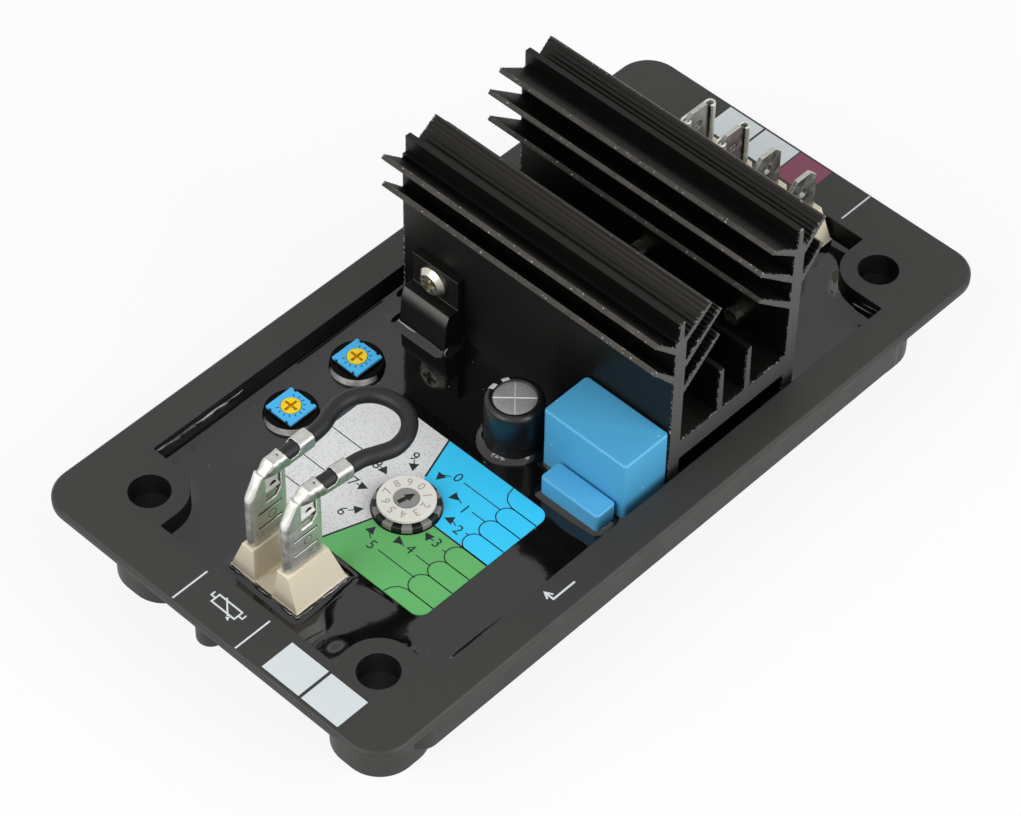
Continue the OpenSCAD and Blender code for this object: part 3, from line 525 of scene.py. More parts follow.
class REGULATOR_OT_stage(bpy.types.Operator):
    """Sets the camera at the photograph's angle, a pale floor and soft studio light."""

    bl_idname = "regulator.stage"
    bl_label = "Stage"

    def execute(self, context):
        scene = context.scene
        scene.view_settings.view_transform = "Standard"
        turn, tilt, roll = [math.radians(angle) for angle in (CAMERA_TURN, CAMERA_TILT, CAMERA_ROLL)]
        back = Vector((
            math.sin(turn) * math.cos(tilt), -math.cos(turn) * math.cos(tilt), math.sin(tilt)
        ))
        right = (-back).cross(Vector((0, 0, 1))).normalized()
        up = back.cross(right)
        right, up = right * math.cos(roll) + up * math.sin(roll), up * math.cos(roll) - right * math.sin(roll)
        data = bpy.data.cameras.new("Photograph")
        data.sensor_fit = "HORIZONTAL"
        data.sensor_width = 36
        data.lens = CAMERA_LENS
        data.clip_start = 0.01
        camera = bpy.data.objects.new("Photograph", data)
        scene.collection.objects.link(camera)
        place = Vector(CAMERA_AIM) * MM + back * CAMERA_FAR
        camera.matrix_world = Matrix((
            (right.x, up.x, back.x, place.x), (right.y, up.y, back.y, place.y),
            (right.z, up.z, back.z, place.z), (0, 0, 0, 1)
        ))
        scene.camera = camera

        corners = np.array([[-4, -4, 0], [4, -4, 0], [4, 4, 0], [-4, 4, 0]], float)
        mesh = bpy.data.meshes.new("Floor")
        mesh.from_pydata(corners.tolist(), [], [[0, 1, 2, 3]])
        floor = bpy.data.objects.new("Floor", mesh)
        scene.collection.objects.link(floor)
        paper = bpy.data.materials.new("Pale floor")
        paper.use_nodes = True
        tree = paper.node_tree
        start = Shade(tree)
        seen = direct_rays(start)
        lit = start.node("ShaderNodeBsdfDiffuse", {}, {"Color": (0.82, 0.82, 0.82)})
        glow = start.node("ShaderNodeEmission", {}, {"Color": (1.0, 1.0, 1.0), "Strength": 1.0})
        both = start.node("ShaderNodeMixShader", {}, {0: seen * 0.86, 1: lit, 2: glow})
        start.feed(tree.nodes["Material Output"].inputs["Surface"], both)
        mesh.materials.append(paper)

        world = bpy.data.worlds.new("Studio")
        scene.world = world
        world.use_nodes = True
        tree = world.node_tree
        start = Shade(tree)
        sky = tree.nodes["Background"]
        sky.inputs["Color"].default_value = (1, 1, 1, 1)
        start.feed(sky.inputs["Strength"], 0.5 + direct_rays(start) * 0.5)
        lamps = (
            ("Key", (-1.1, 0.2, 0.8), 0.9, 11.0),
            ("Fill", (0.25, -1.1, 0.7), 0.9, 11.0),
        )
        for name, spot, size, power in lamps:
            light = bpy.data.lights.new(name, "AREA")
            light.size = size
            light.energy = power
            lamp = bpy.data.objects.new(name, light)
            lamp.location = spot
            lamp.rotation_euler = Vector(spot).to_track_quat("Z", "Y").to_euler()
            scene.collection.objects.link(lamp)
        return {"FINISHED"}


class REGULATOR_OT_jumper(bpy.types.Operator):
    """Makes the looped jumper wire between the two front terminals."""

    bl_idname = "regulator.jumper"
    bl_label = "Jumper wire"

    def execute(self, context):
        sizes = context.scene.regulator_sizes
        x, y = FRONT_TABS[0][0], (FRONT_TABS[0][1] + FRONT_TABS[1][1]) / 2
        plan = np.array([
            [2.6, 3.81], [5.2, 3.81], [7.9, 3.81], [10.4, 3.81], [12.4, 4.05], [14.6, 4.75], [17.2, 5.2],
            [19.9, 4.6], [22.1, 2.8], [23.2, 0.2], [23.2, -2.6], [21.9, -5.0], [19.6, -6.55], [16.8, -7.0],
            [14.2, -6.1], [12.2, -5.2], [10.4, -4.811], [7.9, -4.571], [5.3, -4.32], [2.6, -4.06],
        ]) + (x, y)
        route = np.concatenate([plan, np.full((len(plan), 1), BARREL_Z)], 1)
        line = smooth_line(route, 8)
        look = moulded("Wire insulation", tone("131314"), 0.5, 0.006, 0.3, 0.35, 0.25)
        points, faces = tube(line, sizes.wire_d / MM / 2, 24)
        wire = put("jumper_insulation", points, faces, look, stands_for=("jumper_wire",), slot="wire")
        return {"FINISHED"}


class REGULATOR_OT_housing(bpy.types.Operator):
    """Rounds the moulded housing's edges and prints the flange."""

    bl_idname = "regulator.housing"
    bl_label = "Housing and flange prints"

    def execute(self, context):
        look = moulded("Moulded housing", hue("housing"), 0.5, 0.02, 0.3, 0.32, 0.12)
        x, y, z = look.axes()
        # The pocket's walls above the resin are darkened to near black.
        wall = (abs(look.facing(2)) < 0.5) * (abs(x) < 61.3) * (abs(y) < 31.3) * (z > RESIN_Z)
        look.set("Base Color", look.mix(wall, look.colour(), tone("0C0C0C")))
        softened("housing", "housing_moulding", look, 0.00035, 3, 35.0, slot="housing_plastic")
        height = PLATE_Z + length_mm("ink")
        ink = moulded("White ink", hue("white"), 0.5, 0.006, 0.12, 0.3, 0.06)
        white = [
            box_patch(-69.0, -19.8, -62.7, -12.0), box_patch(-69.0, -28.0, -62.7, -20.35),
            stroke([(-69.4, 7.0), (-62.2, 7.0)], 0.32), stroke([(-69.4, -6.7), (-62.2, -6.7)], 0.32),
            stroke([(62.2, -13.2), (69.4, -13.2)], 0.32),
            box_patch(62.4, 2.05, 69.2, 9.6), box_patch(62.4, 10.0, 69.2, 17.5),
            box_patch(-29.68, -34.38, -24.8, -34.02), box_patch(-29.68, -34.02, -29.32, -32.7),
            box_patch(-65.85, -2.75, -65.55, 2.5), box_patch(-64.15, -2.75, -63.85, 2.5),
            box_patch(-65.55, 2.2, -64.15, 2.5), box_patch(-65.55, -2.75, -64.15, -2.45),
            box_patch(-65.0, 2.5, -64.72, 3.4), box_patch(-64.72, 3.12, -64.05, 3.4),
            box_patch(-65.0, -3.6, -64.72, -2.75), box_patch(-64.72, -3.6, -64.0, -3.32),
        ]
        printed("flange_print_white", white, height, ink, slot="housing_plastic")
        arrows = [
            stroke([(-63.63, 1.13), (-66.0, -1.48)], 0.28),
            patch([(-66.36, -1.31), (-66.66, -2.16), (-65.86, -1.83)]),
            patch([
                (-29.5, -32.05), (-30.3, -33.5), (-30.02, -33.62),
                (-29.5, -32.75), (-28.98, -33.62), (-28.7, -33.5),
            ]),
        ]
        printed("flange_print_arrows", arrows, height + OVERPRINT, ink, slot="housing_plastic")
        wine = moulded("Maroon ink", hue("maroon"), 0.5, 0.006, 0.12, 0.3, 0.08)
        field = [box_patch(62.4, -5.0, 69.2, 1.8)]
        printed("flange_print_maroon", field, height, wine, slot="housing_plastic")
        return {"FINISHED"}


class REGULATOR_OT_resin(bpy.types.Operator):
    """Pours the resin: a glossy surface that climbs every wall it meets."""

    bl_idname = "regulator.resin"
    bl_label = "Potting resin"

    def collar(self, middle, half, corner, high, wide):
        """Resin that climbs a piece: the piece's outline goes outwards and falls away with the distance."""
        quarter = np.linspace(0, 90, COLLAR_QUARTER)
        angle = np.radians(np.concatenate([quarter + 90 * k for k in range(4)]))[:, None]
        side = np.repeat([[1, 1], [-1, 1], [-1, -1], [1, -1]], len(quarter), axis=0)
        share = np.linspace(0, 1, COLLAR_ROWS)[None, :] ** 1.5
        far = 4 * wide * share
        fade = (1 - share) ** 3
        step = np.arange(len(angle))[:, None]
        high = high * (1 + 0.14 * np.sin(step * 0.942) + 0.08 * np.sin(step * 2.2))
        x = middle[0] + side[:, :1] * (half[0] - corner) + (corner + far) * np.cos(angle)
        y = middle[1] + side[:, 1:] * (half[1] - corner) + (corner + far) * np.sin(angle)
        z = RESIN_Z + 0.012 - 0.06 * share + high * fade + 0 * angle
        return np.stack([x, y, z], -1).reshape(-1, 3)

    def collars(self, look):
        """All the climbs in one piece."""
        steep = (
            ("front_terminal_block", 0.3, 0.45, 0.7), ("rear_terminal_block", 0.3, 0.45, 0.7),
            ("large_film_capacitor", 0.8, 0.45, 0.5), ("small_film_capacitor", 0.8, 0.45, 0.5),
            ("front_transistor", 0.3, 0.7, 0.6), ("rear_left_transistor", 0.3, 0.7, 0.6),
            ("rear_right_transistor", 0.3, 0.7, 0.6), ("electrolytic_sleeve", None, 0.7, 0.5),
        )
        sides = 4 * COLLAR_QUARTER
        around = grid_quads(sides + 1, COLLAR_ROWS)
        around = np.where(around < sides * COLLAR_ROWS, around, around - sides * COLLAR_ROWS)[:, ::-1]
        parts = []
        for node, corner, high, wide in steep:
            middle, half = node_plan(node)
            half = half - 0.03
            corner = half[0] if corner is None else corner
            parts.append((self.collar(middle, half, corner, high, wide), around))
        points, faces = joined(parts)
        piece = put("resin_collars", points, faces, look, 60.0, False, slot="resin")
        solid_sheet(piece, 0.0002, -1.0, False)

    def beads(self, name, lines, look):
        """Beads of resin in one piece: a circle that swells and shrinks is carried along each line."""
        points, faces = joined([tube(line, girth, 16) for line, girth in lines])
        put(name, points, faces, look, 60.0, slot="resin")

    def wells(self):
        """A low round dam about each trimmer, and the runs of resin along walls and the front block."""
        dark = Finish("Resin dam", Specular_IOR_Level=0.06)
        # Painted reflection: faces of the dam towards -X and -Y get a pale, clouded colour that stands in for
        # the bright surroundings they mirror; the rest stays near black.
        lit = dark.ramp(-0.86 * dark.facing(0) - 0.5 * dark.facing(1), 0.45, 0.75)
        clouds = dark.noise(1.6, 3.0)
        dark.set("Base Color", dark.mix(lit * clouds, tone("050505"), tone("D0CECA")))
        dark.set("Roughness", 0.25 + 0.2 * clouds)
        for kind in ("stability", "voltage"):
            middle = node_plan(kind + "_trimmer_cover")[0]
            profile = np.concatenate([
                [(2.4, RESIN_Z - 0.4), (2.4, RESIN_Z + 1.1), (3.6, RESIN_Z + 1.2)],
                arc((4.2, RESIN_Z + 0.95), 0.25, 90, 10, 6), [(4.52, RESIN_Z + 0.3), (4.75, RESIN_Z - 0.4)],
            ])
            points, faces = turned(profile, middle, 80)
            put(kind + "_dam", points, faces, dark, 60.0, slot="resin")
        share = np.linspace(0, 1, 61)
        line = np.stack([
            -51.0 + 19.0 * share, 31.0 + 0 * share, 16.95 - 0.5 * share + 0.08 * np.sin(share * 21)
        ], 1)
        taper = np.sqrt(np.clip(1 - (2 * share - 1) ** 4, 0.0, 1)) + 0.04
        lines = [(line, 0.5 * taper * (1 + 0.15 * np.sin(share * 33)))]
        for start, height, girth in ((-25.2, 15.1, 0.34), (-27.2, 16.5, 0.16)):
            side = np.stack([51.15 + 0 * share, start + (-30.4 - start) * share, height + 0.5 * share], 1)
            lines.append((side, girth * taper))
        middle, half = node_plan("front_terminal_block")
        x, y = half + 0.12
        foot = smooth_line(
            middle + [(-x, y - 0.4), (-x, 0), (-x, 1 - y), (0.6 - x, -y), (0, -y), (x - 0.6, -y)], 14
        )
        step = np.arange(len(foot))
        foot = np.concatenate([foot, (RESIN_Z + 0.3 + 0.1 * np.sin(step * 0.9))[:, None]], 1)
        lines.append((foot, 0.24 + 0.12 * np.sin(step * 0.55) + 0.06 * np.sin(step * 1.7)))
        run = Finish("Resin run", Specular_IOR_Level=0.4, Roughness=0.15)
        # Painted highlight: upward faces of the runs get pale, noise-broken streaks over the near-black
        # resin.
        top = run.ramp(run.facing(2), 0.5, 0.75) * run.ramp(-1.0 * run.facing(2), -0.97, -0.85)
        painted_highlight = top * run.ramp(run.noise(1.6, 3.0, (0.25, 1, 1)), 0.4, 0.6)
        run.set("Base Color", run.mix(painted_highlight, tone("060606"), tone("A8A8A4")))
        self.beads("resin_runs", lines, run)
        along = np.linspace(-48.0, 50.0, 197)
        swell = np.maximum(np.sin(along * 0.19 + 0.6) * np.sin(along * 0.083 + 2.1), 0)
        edge = np.stack([along, -30.95 + 0 * along, 17.9 + 0 * along], 1)
        # The edge bead takes the dam's finish, with its painted pale reflection on faces towards -X and -Y.
        self.beads("resin_edge", [(edge, 0.06 + 0.3 * swell)], dark)

    def execute(self, context):
        climb, reach = length_mm("climb"), length_mm("climb_w")
        xs = np.linspace(-61.05, 61.05, 280)
        ys = np.linspace(-31.05, 31.05, 144)
        x, y = np.meshgrid(xs, ys, indexing="ij")
        pads = np.min([
            np.minimum(
                np.hypot(x - hx, y - hy) - PAD_R,
                np.minimum(
                    np.maximum(np.sign(hx) * (hx - x), np.abs(hy) - PAD_R - np.sign(hy) * y),
                    np.maximum(np.sign(hy) * (hy - y), np.abs(hx) - PAD_R - np.sign(hx) * x),
                ),
            )
            for hx, hy in HOLES
        ], axis=0)
        rise = climb * np.exp(-np.maximum(-from_box(x, y, (0, 0), (61, 31)), 0) / reach)
        rise += 1.2 * climb * np.exp(-np.maximum(pads, 0) / reach)
        for wall in (3.3, 30.5):
            rise += 0.6 * climb * np.exp(-np.maximum(from_box(x, y, (wall, 0), (1.25, 28.95)), 0) / reach)
        drops = (
            (-56.0, -12.5, 3.0, 0.25), (-43.0, -12.0, 2.6, 0.2), (-50.4, -24.5, 2.2, 0.35),
            (44.0, -17.5, 2.6, 0.2), (-41.5, 8.0, 3.0, 0.12),
            (-3.0, -30.5, 2.0, 0.2), (-15.5, -27.0, 2.4, 0.15),
        )
        for dx, dy, wide, high in drops:
            rise += high * np.exp(-((x - dx) ** 2 + (y - dy) ** 2) / wide ** 2)
        rise += 0.02 * np.sin(x * 0.21 + 0.7) * np.cos(y * 0.17) + 0.012 * np.sin(x * 0.37 - y * 0.29)
        middle = (LABEL_LO + LABEL_HI)[:2] / 2
        half = (LABEL_HI - LABEL_LO)[:2] / 2
        clear = np.clip(from_box(x, y, middle, half, 2.0) / 1.3, 0, 1)
        rise = rise * clear * clear * (3 - 2 * clear)
        points = np.stack([x, y, RESIN_Z + 0.01 + rise], -1)
        quads = grid_quads(len(xs), len(ys))
        inside = quads[(pads.ravel()[quads] > -0.9).any(axis=1)]
        look = Finish("Poured resin", Specular_IOR_Level=0.62)
        dust = look.specks(2.6, 0.035)
        look.set("Base Color", look.mix(dust, hue("resin"), tone("8A8A86")))
        look.set("Roughness", 0.035 + 0.05 * look.noise(12.0, 4.0) + dust * 0.4)
        look.grain(look.noise(14.0, 2.0) * 0.8 + look.noise(2.4, 2.0) * 0.2, 0.05)
        resin = put(
            "resin_surface", points, inside.tolist(), look, 60.0, False,
            stands_for=("potting_resin",), slot="resin"
        )
        solid_sheet(resin, 0.0006, -1.0)
        self.collars(look)
        self.wells()
        return {"FINISHED"}


class REGULATOR_OT_heat_sink(bpy.types.Operator):
    """Extrudes the finned heat sink with its fine ribs and sawn ends."""

    bl_idname = "regulator.heat_sink"
    bl_label = "Heat sink"

    def fin(self, root, tip, face):
        """Four corners of a tapered fin: its lower flank and its upper flank, from the wall's face out."""
        root, tip = np.array(root), np.array(tip)
        along = (tip - root) / np.linalg.norm(tip - root)
        across = np.array([-along[1], along[0]])
        across = across if across[1] > 0 else -across
        ends = []
        for side in (-1, 1):
            foot, end = root + side * across * FIN_ROOT, tip + side * across * FIN_TIP
            share = (face - foot[0]) / (end[0] - foot[0])
            ends.append([foot + (end - foot) * share, end])
        return [ends[0][0], ends[0][1], ends[1][1], ends[1][0]]

    def outline(self):
        """Corners of half the profile: from the outer foot over the crest and down to the web's middle."""
        outer, inner, middle = -14.85, -12.35, -13.6
        corners = [(outer, 0.0)]
        corners += self.fin((middle, 24.2), (-19.2, 30.4), outer)
        corners += self.fin((middle, 30.8), (-19.2, 36.3), outer)
        corners += [(outer, CREST_Z), (-14.15, CREST_Z), (-14.15, 37.2), (-13.05, 37.2), (-13.05, CREST_Z)]
        top = self.fin((middle, 32.3), (-7.15, 37.0), inner)
        corners += [(-12.71, CREST_Z), top[2], top[1], top[0]]
        corners += self.fin((middle, 26.2), (-4.75, 33.9), inner)[::-1]
        corners += self.fin((middle, 20.4), (-4.75, 28.1), inner)[::-1]
        corners += [(inner, 9.6), (-3.894, 9.6), (-3.65, 18.8), (-2.75, 18.8), (-2.506, 9.6)]
        return np.array(corners, float)

    def execute(self, context):
        half = self.outline()
        mirrored = half[::-1] * (-1, 1)
        corners = np.concatenate([half, mirrored, [(12.35, 0), (12.35, 5.4), (-12.35, 5.4), (-12.35, 0)]])
        following = np.roll(corners, -1, axis=0)
        lengths = np.linalg.norm(following - corners, axis=1)
        counts = np.maximum(1, np.round(lengths / 0.13)).astype(int)
        edge = np.repeat(np.arange(len(corners)), counts)
        share = (np.arange(counts.sum()) - np.repeat(np.cumsum(counts) - counts, counts)) / counts[edge]
        spots = corners[edge] + (following - corners)[edge] * share[:, None]
        heading = ((following - corners) / lengths[:, None])[edge]
        inward = np.stack([heading[:, 1], -heading[:, 0]], 1)
        slanted = (np.abs(heading) > 0.25).all(axis=1) & (lengths[edge] > 3)
        ribs = np.maximum(1, np.round(lengths[edge] / length_mm("rib_pitch")))
        depth = np.where(slanted, length_mm("rib_depth") * (0.5 - 0.5 * np.cos(TAU * ribs * share)), 0.0)
        spots = spots + inward * depth[:, None]
        rng = np.random.default_rng(11)
        ragged = np.convolve(rng.random(len(spots)), np.ones(5) / 5, "same")
        low, high = [np.array(p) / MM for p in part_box("heat_sink")]
        middle = (low + high) / 2
        corner_in = inward + np.roll(inward, 1, axis=0)
        corner_in /= np.maximum(np.linalg.norm(corner_in, axis=1, keepdims=True), 0.5)
        rings = []
        for sign in (-1, 1):
            ends = [(0.0, 0.45 + 0.0 * ragged), (0.01, 0.03 + 0.3 * ragged), (0.05, 0.0 * ragged)]
            for shrink, back in (ends[::-1] if sign < 0 else ends):
                flat = spots + corner_in * shrink
                rings.append(np.stack([
                    middle[0] + flat[:, 0], sign * (high[1] - back) + 0 * flat[:, 0], low[2] + flat[:, 1]
                ], 1))
        points, faces = np.concatenate(rings), lofted(len(rings), len(spots))

        look = Finish("Black anodised extrusion", Specular_IOR_Level=0.22, Specular_Tint=(1.0, 0.94, 0.86))
        x, y, z = look.axes()
        cut = look.ramp(abs(look.facing(1)), 0.55, 0.8)
        rim = look.ramp(abs(y), 28.55, 28.9)
        speck = look.ramp(look.noise(0.5, 2.0), 0.54, 0.62)
        drawn = look.noise(1.1, 3.0, (1, 0.03, 1))
        black, bare = hue("anodised"), hue("cut_metal")
        base = look.mix(drawn, darker(black, 0.55), darker(black, 1.35))
        sawn = look.mix(look.noise(0.7, 4.0, (1.0, 1.0, 3.0)), darker(bare, 0.6), darker(bare, 1.2))
        out = abs(x - float(middle[0]))
        inner = (abs(out - 4.85) < 0.3) * (z > low[2] + 25)
        upper = (abs(out - 7.25) < 0.3) * (z > low[2] + 34)
        # Painted highlight on the fin tips: a lighter brownish tint, then pale flecks.
        tips = (out > 18.75) + inner + upper
        base = look.mix(tips * look.noise(2.5, 3.0), base, tone("4C4945"))
        base = look.mix(tips * look.ramp(look.noise(0.45, 2.0), 0.66, 0.72), base, tone("B8B6B2"))
        look.set("Base Color", look.mix(cut, look.mix(rim * speck, base, tone("9A9A98")), sawn))
        look.set("Roughness", 0.34 + 0.16 * drawn + cut * 0.1)
        look.set("Metallic", cut * 0.25)
        look.grain(drawn * 0.6 + look.noise(0.18, 2.0) * 0.4, 0.012)
        put(
            "heat_sink_extrusion", points, faces, look, 50.0,
            stands_for=("heat_sink",), slot="black_aluminium"
        )
        return {"FINISHED"}


class REGULATOR_OT_label(bpy.types.Operator):
    """Prints the settings label: three colour fields, cells, leader lines, arrows and numbers."""

    bl_idname = "regulator.label"
    bl_label = "Settings label"

    def execute(self, context):
        look = Finish("Label film", Specular_IOR_Level=0.35)
        x, y, _ = look.axes()
        right = x > -29.3
        blue = (y < (x + 15.05) * 0.3188 + 1.83) * right
        green = (y < (x + 34.7) * -0.362 - 0.9) * (1 - right)
        dots = look.specks(0.34, 0.36) * look.ramp(look.noise(0.7, 2.0), 0.38, 0.55)
        paper = look.mix(dots, hue("paper"), darker(hue("paper"), 0.72))
        cloud = look.noise(6.0, 3.0)
        sky = look.mix(cloud, darker(hue("sky"), 0.94), hue("sky"))
        leaf = look.mix(cloud, darker(hue("leaf"), 0.94), hue("leaf"))
        look.set("Base Color", look.mix(green, look.mix(blue, paper, sky), leaf))
        look.set("Roughness", 0.42 + 0.1 * cloud)
        look.grain(look.noise(0.5, 2.0), 0.004)
        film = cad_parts["settings_label"]
        film.data.materials.clear()
        film.data.materials.append(look.material)

        left, low = LABEL_LO[:2]
        right, high = LABEL_HI[:2]
        lines = [
            stroke([(right, 1.83), (-23.1, -0.74)], 0.34), stroke([(left, 2.4), (-34.4, -1.01)], 0.34),
            stroke([(-29.3, -8.4), (-29.3, low)], 0.32),
            stroke([
                (right, -12.2), (-16.6, -12.5), (-17.7, -13.3), (-18.25, -14.6), (-18.3, -16.0), (-18.3, low)
            ], 0.2),
            stroke([
                (left, -12.2), (-42.6, -12.5), (-41.6, -13.3), (-41.1, -14.6), (-41.05, -16.0), (-41.05, low)
            ], 0.2),
        ]
        cells = (-18.3, -21.9, -25.6, -29.3, -33.2, -36.9, -41.05)
        for second, first in zip(cells[:-1], cells[1:]):
            cap = arc(((first + second) / 2, -15.6), (second - first) / 2, 0, 180, 17)
            lines.append(stroke(np.concatenate([[(second, low)], cap, [(first, low)]]), 0.2))
        leaders = (
            (-19.8, -6.0), (-23.2, -11.0), (-26.9, -13.2), (-31.8, -13.0), (-35.4, -10.8), (-38.7, -5.9),
        )
        lines += [stroke([(lx, ly), (lx, -13.85)], 0.18) for lx, ly in leaders]
        out = spokes(-36.0 * np.arange(10))
        side = np.stack([-out[:, 1], out[:, 0]], 1)
        centre = np.array([-29.05, -2.4])
        lines += [
            patch([centre + o * 6.6, centre + o * 8.15 + s * 0.86, centre + o * 8.15 - s * 0.86][::-1])
            for o, s in zip(out, side)
        ]
        spots = (
            (-19.64, -4.59), (-23.53, -9.82), (-27.22, -11.98), (-31.4, -11.48), (-35.08, -9.39),
            (-38.64, -4.48), (-37.04, 3.59), (-31.64, 6.62), (-26.54, 6.38), (-21.25, 3.36),
        )
        lines += [digit(str(n), 1.85, spot, -90) for n, spot in enumerate(spots)]
        lines += [
            stroke([centre + o * 8.05, (centre + o * 8.05) * 0.45 + np.array(spot) * 0.55], 0.18)
            for o, spot in zip(out, spots)
        ]
        table = ((-38.2, 8.4), (-33.2, 8.4), (-26.0, 8.4))
        lines += [stroke([(cx, high), (cx, cy)], 0.18) for cx, cy in table]
        ink = moulded("Label ink", tone("20242A"), 0.5, 0.004, 0.15, 0.3, 0.1)
        printed("label_print", lines, LABEL_HI[2] + length_mm("ink"), ink, slot="label")
        return {"FINISHED"}


class REGULATOR_OT_selector(bpy.types.Operator):
    """Finishes the ten-position selector with its numbered dial and slotted hub."""

    bl_idname = "regulator.selector"
    bl_label = "Rotary selector"

    def execute(self, context):
        black = moulded("Selector body", tone("0E0E0F"), 0.35, 0.01, 0.2, 0.4, 0.2)
        x, y, z = black.axes()
        angle = black.start.maths("ARCTAN2", y - float(SELECTOR[1]), x - float(SELECTOR[0]))
        teeth = (black.start.maths("SINE", angle * 10) > 0) * (z > RESIN_Z + 0.2) * (z < RESIN_Z + 1.4)
        black.set("Base Color", black.mix(teeth, tone("0E0E0F"), tone("837E79")))
        softened("selector_body", "selector_base", black, 0.0002, 3, slot="black_plastic")
        pale = moulded("Selector dial", hue("dial"), 0.5, 0.012, 0.2, 0.35, 0.05)
        softened("selector_dial", "selector_disc", pale, 0.00012, 3, body="selector", slot="dial_plastic")
        grey = moulded("Selector hub", tone("8C8C89"), 0.45, 0.012, 0.2, 0.4, 0.1)
        # Painted shade: the hub below its top face, slot and arrow recess included, is darkened.
        shaded_recess = grey.axes()[2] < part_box("selector_hub")[1].z / MM - 0.12
        grey.set("Base Color", grey.mix(shaded_recess, tone("8C8C89"), tone("3A3936")))
        softened("selector_hub", "selector_screw", grey, 0.00008, 2, body="selector", slot="grey_plastic")
        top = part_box("selector_dial")[1].z / MM + length_mm("ink")
        turn = -36.0 * np.arange(10)
        spots = SELECTOR + 3.3 * spokes(turn)
        marks = [digit(str(n), 1.45, spot, angle - 90) for n, (spot, angle) in enumerate(zip(spots, turn))]
        ink = moulded("Dial ink", tone("A6A59D"), 0.55, 0.004, 0.15, 0.3, 0.1)
        printed("dial_numbers", marks, top, ink, body="selector", slot="dial_plastic")
        return {"FINISHED"}


class REGULATOR_OT_trimmers(bpy.types.Operator):
    """Finishes both trimmers: blue covers with tick marks, yellow slotted rotors and dark bases."""

    bl_idname = "regulator.trimmers"
    bl_label = "Trimmers"

    def execute(self, context):
        base = moulded("Trimmer base", tone("141415"), 0.45, 0.012, 0.2, 0.4, 0.12)
        softened("trimmer_bases", "trimmer_cases", base, 0.0001, 2, slot="grey_plastic")
        blue = moulded("Trimmer cover", hue("cover"), 0.42, 0.01, 0.2, 0.4, 0.08)
        yellow = moulded("Trimmer rotor", hue("rotor"), 0.42, 0.012, 0.2, 0.4, 0.1)
        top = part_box("stability_trimmer_rotor")[1].z / MM
        # Painted shade: the rotor below its top face, its slot included, is a darker yellow.
        shaded_recess = yellow.axes()[2] < top - 0.15
        yellow.set("Base Color", yellow.mix(shaded_recess, hue("rotor"), tone("D6A010")))
        ink = moulded("Trimmer ink", tone("0E3A66"), 0.5, 0.004, 0.15, 0.3, 0.1)
        out = spokes(34 - 24.9 * np.arange(11))
        for kind in ("stability", "voltage"):
            cover = kind + "_trimmer_cover"
            softened(cover, kind + "_cap", blue, 0.00009, 2, slot="trimmer_blue")
            softened(
                kind + "_trimmer_rotor", kind + "_screw", yellow, 0.00009, 2,
                body=kind + "_adjuster", slot="trimmer_yellow"
            )
            middle = node_plan(cover)[0]
            ticks = [stroke([middle + o * 1.95, middle + o * 2.42], 0.19) for o in out]
            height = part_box(cover)[1].z / MM + length_mm("ink")
            printed(kind + "_ticks", ticks, height, ink, slot="trimmer_blue")
        return {"FINISHED"}


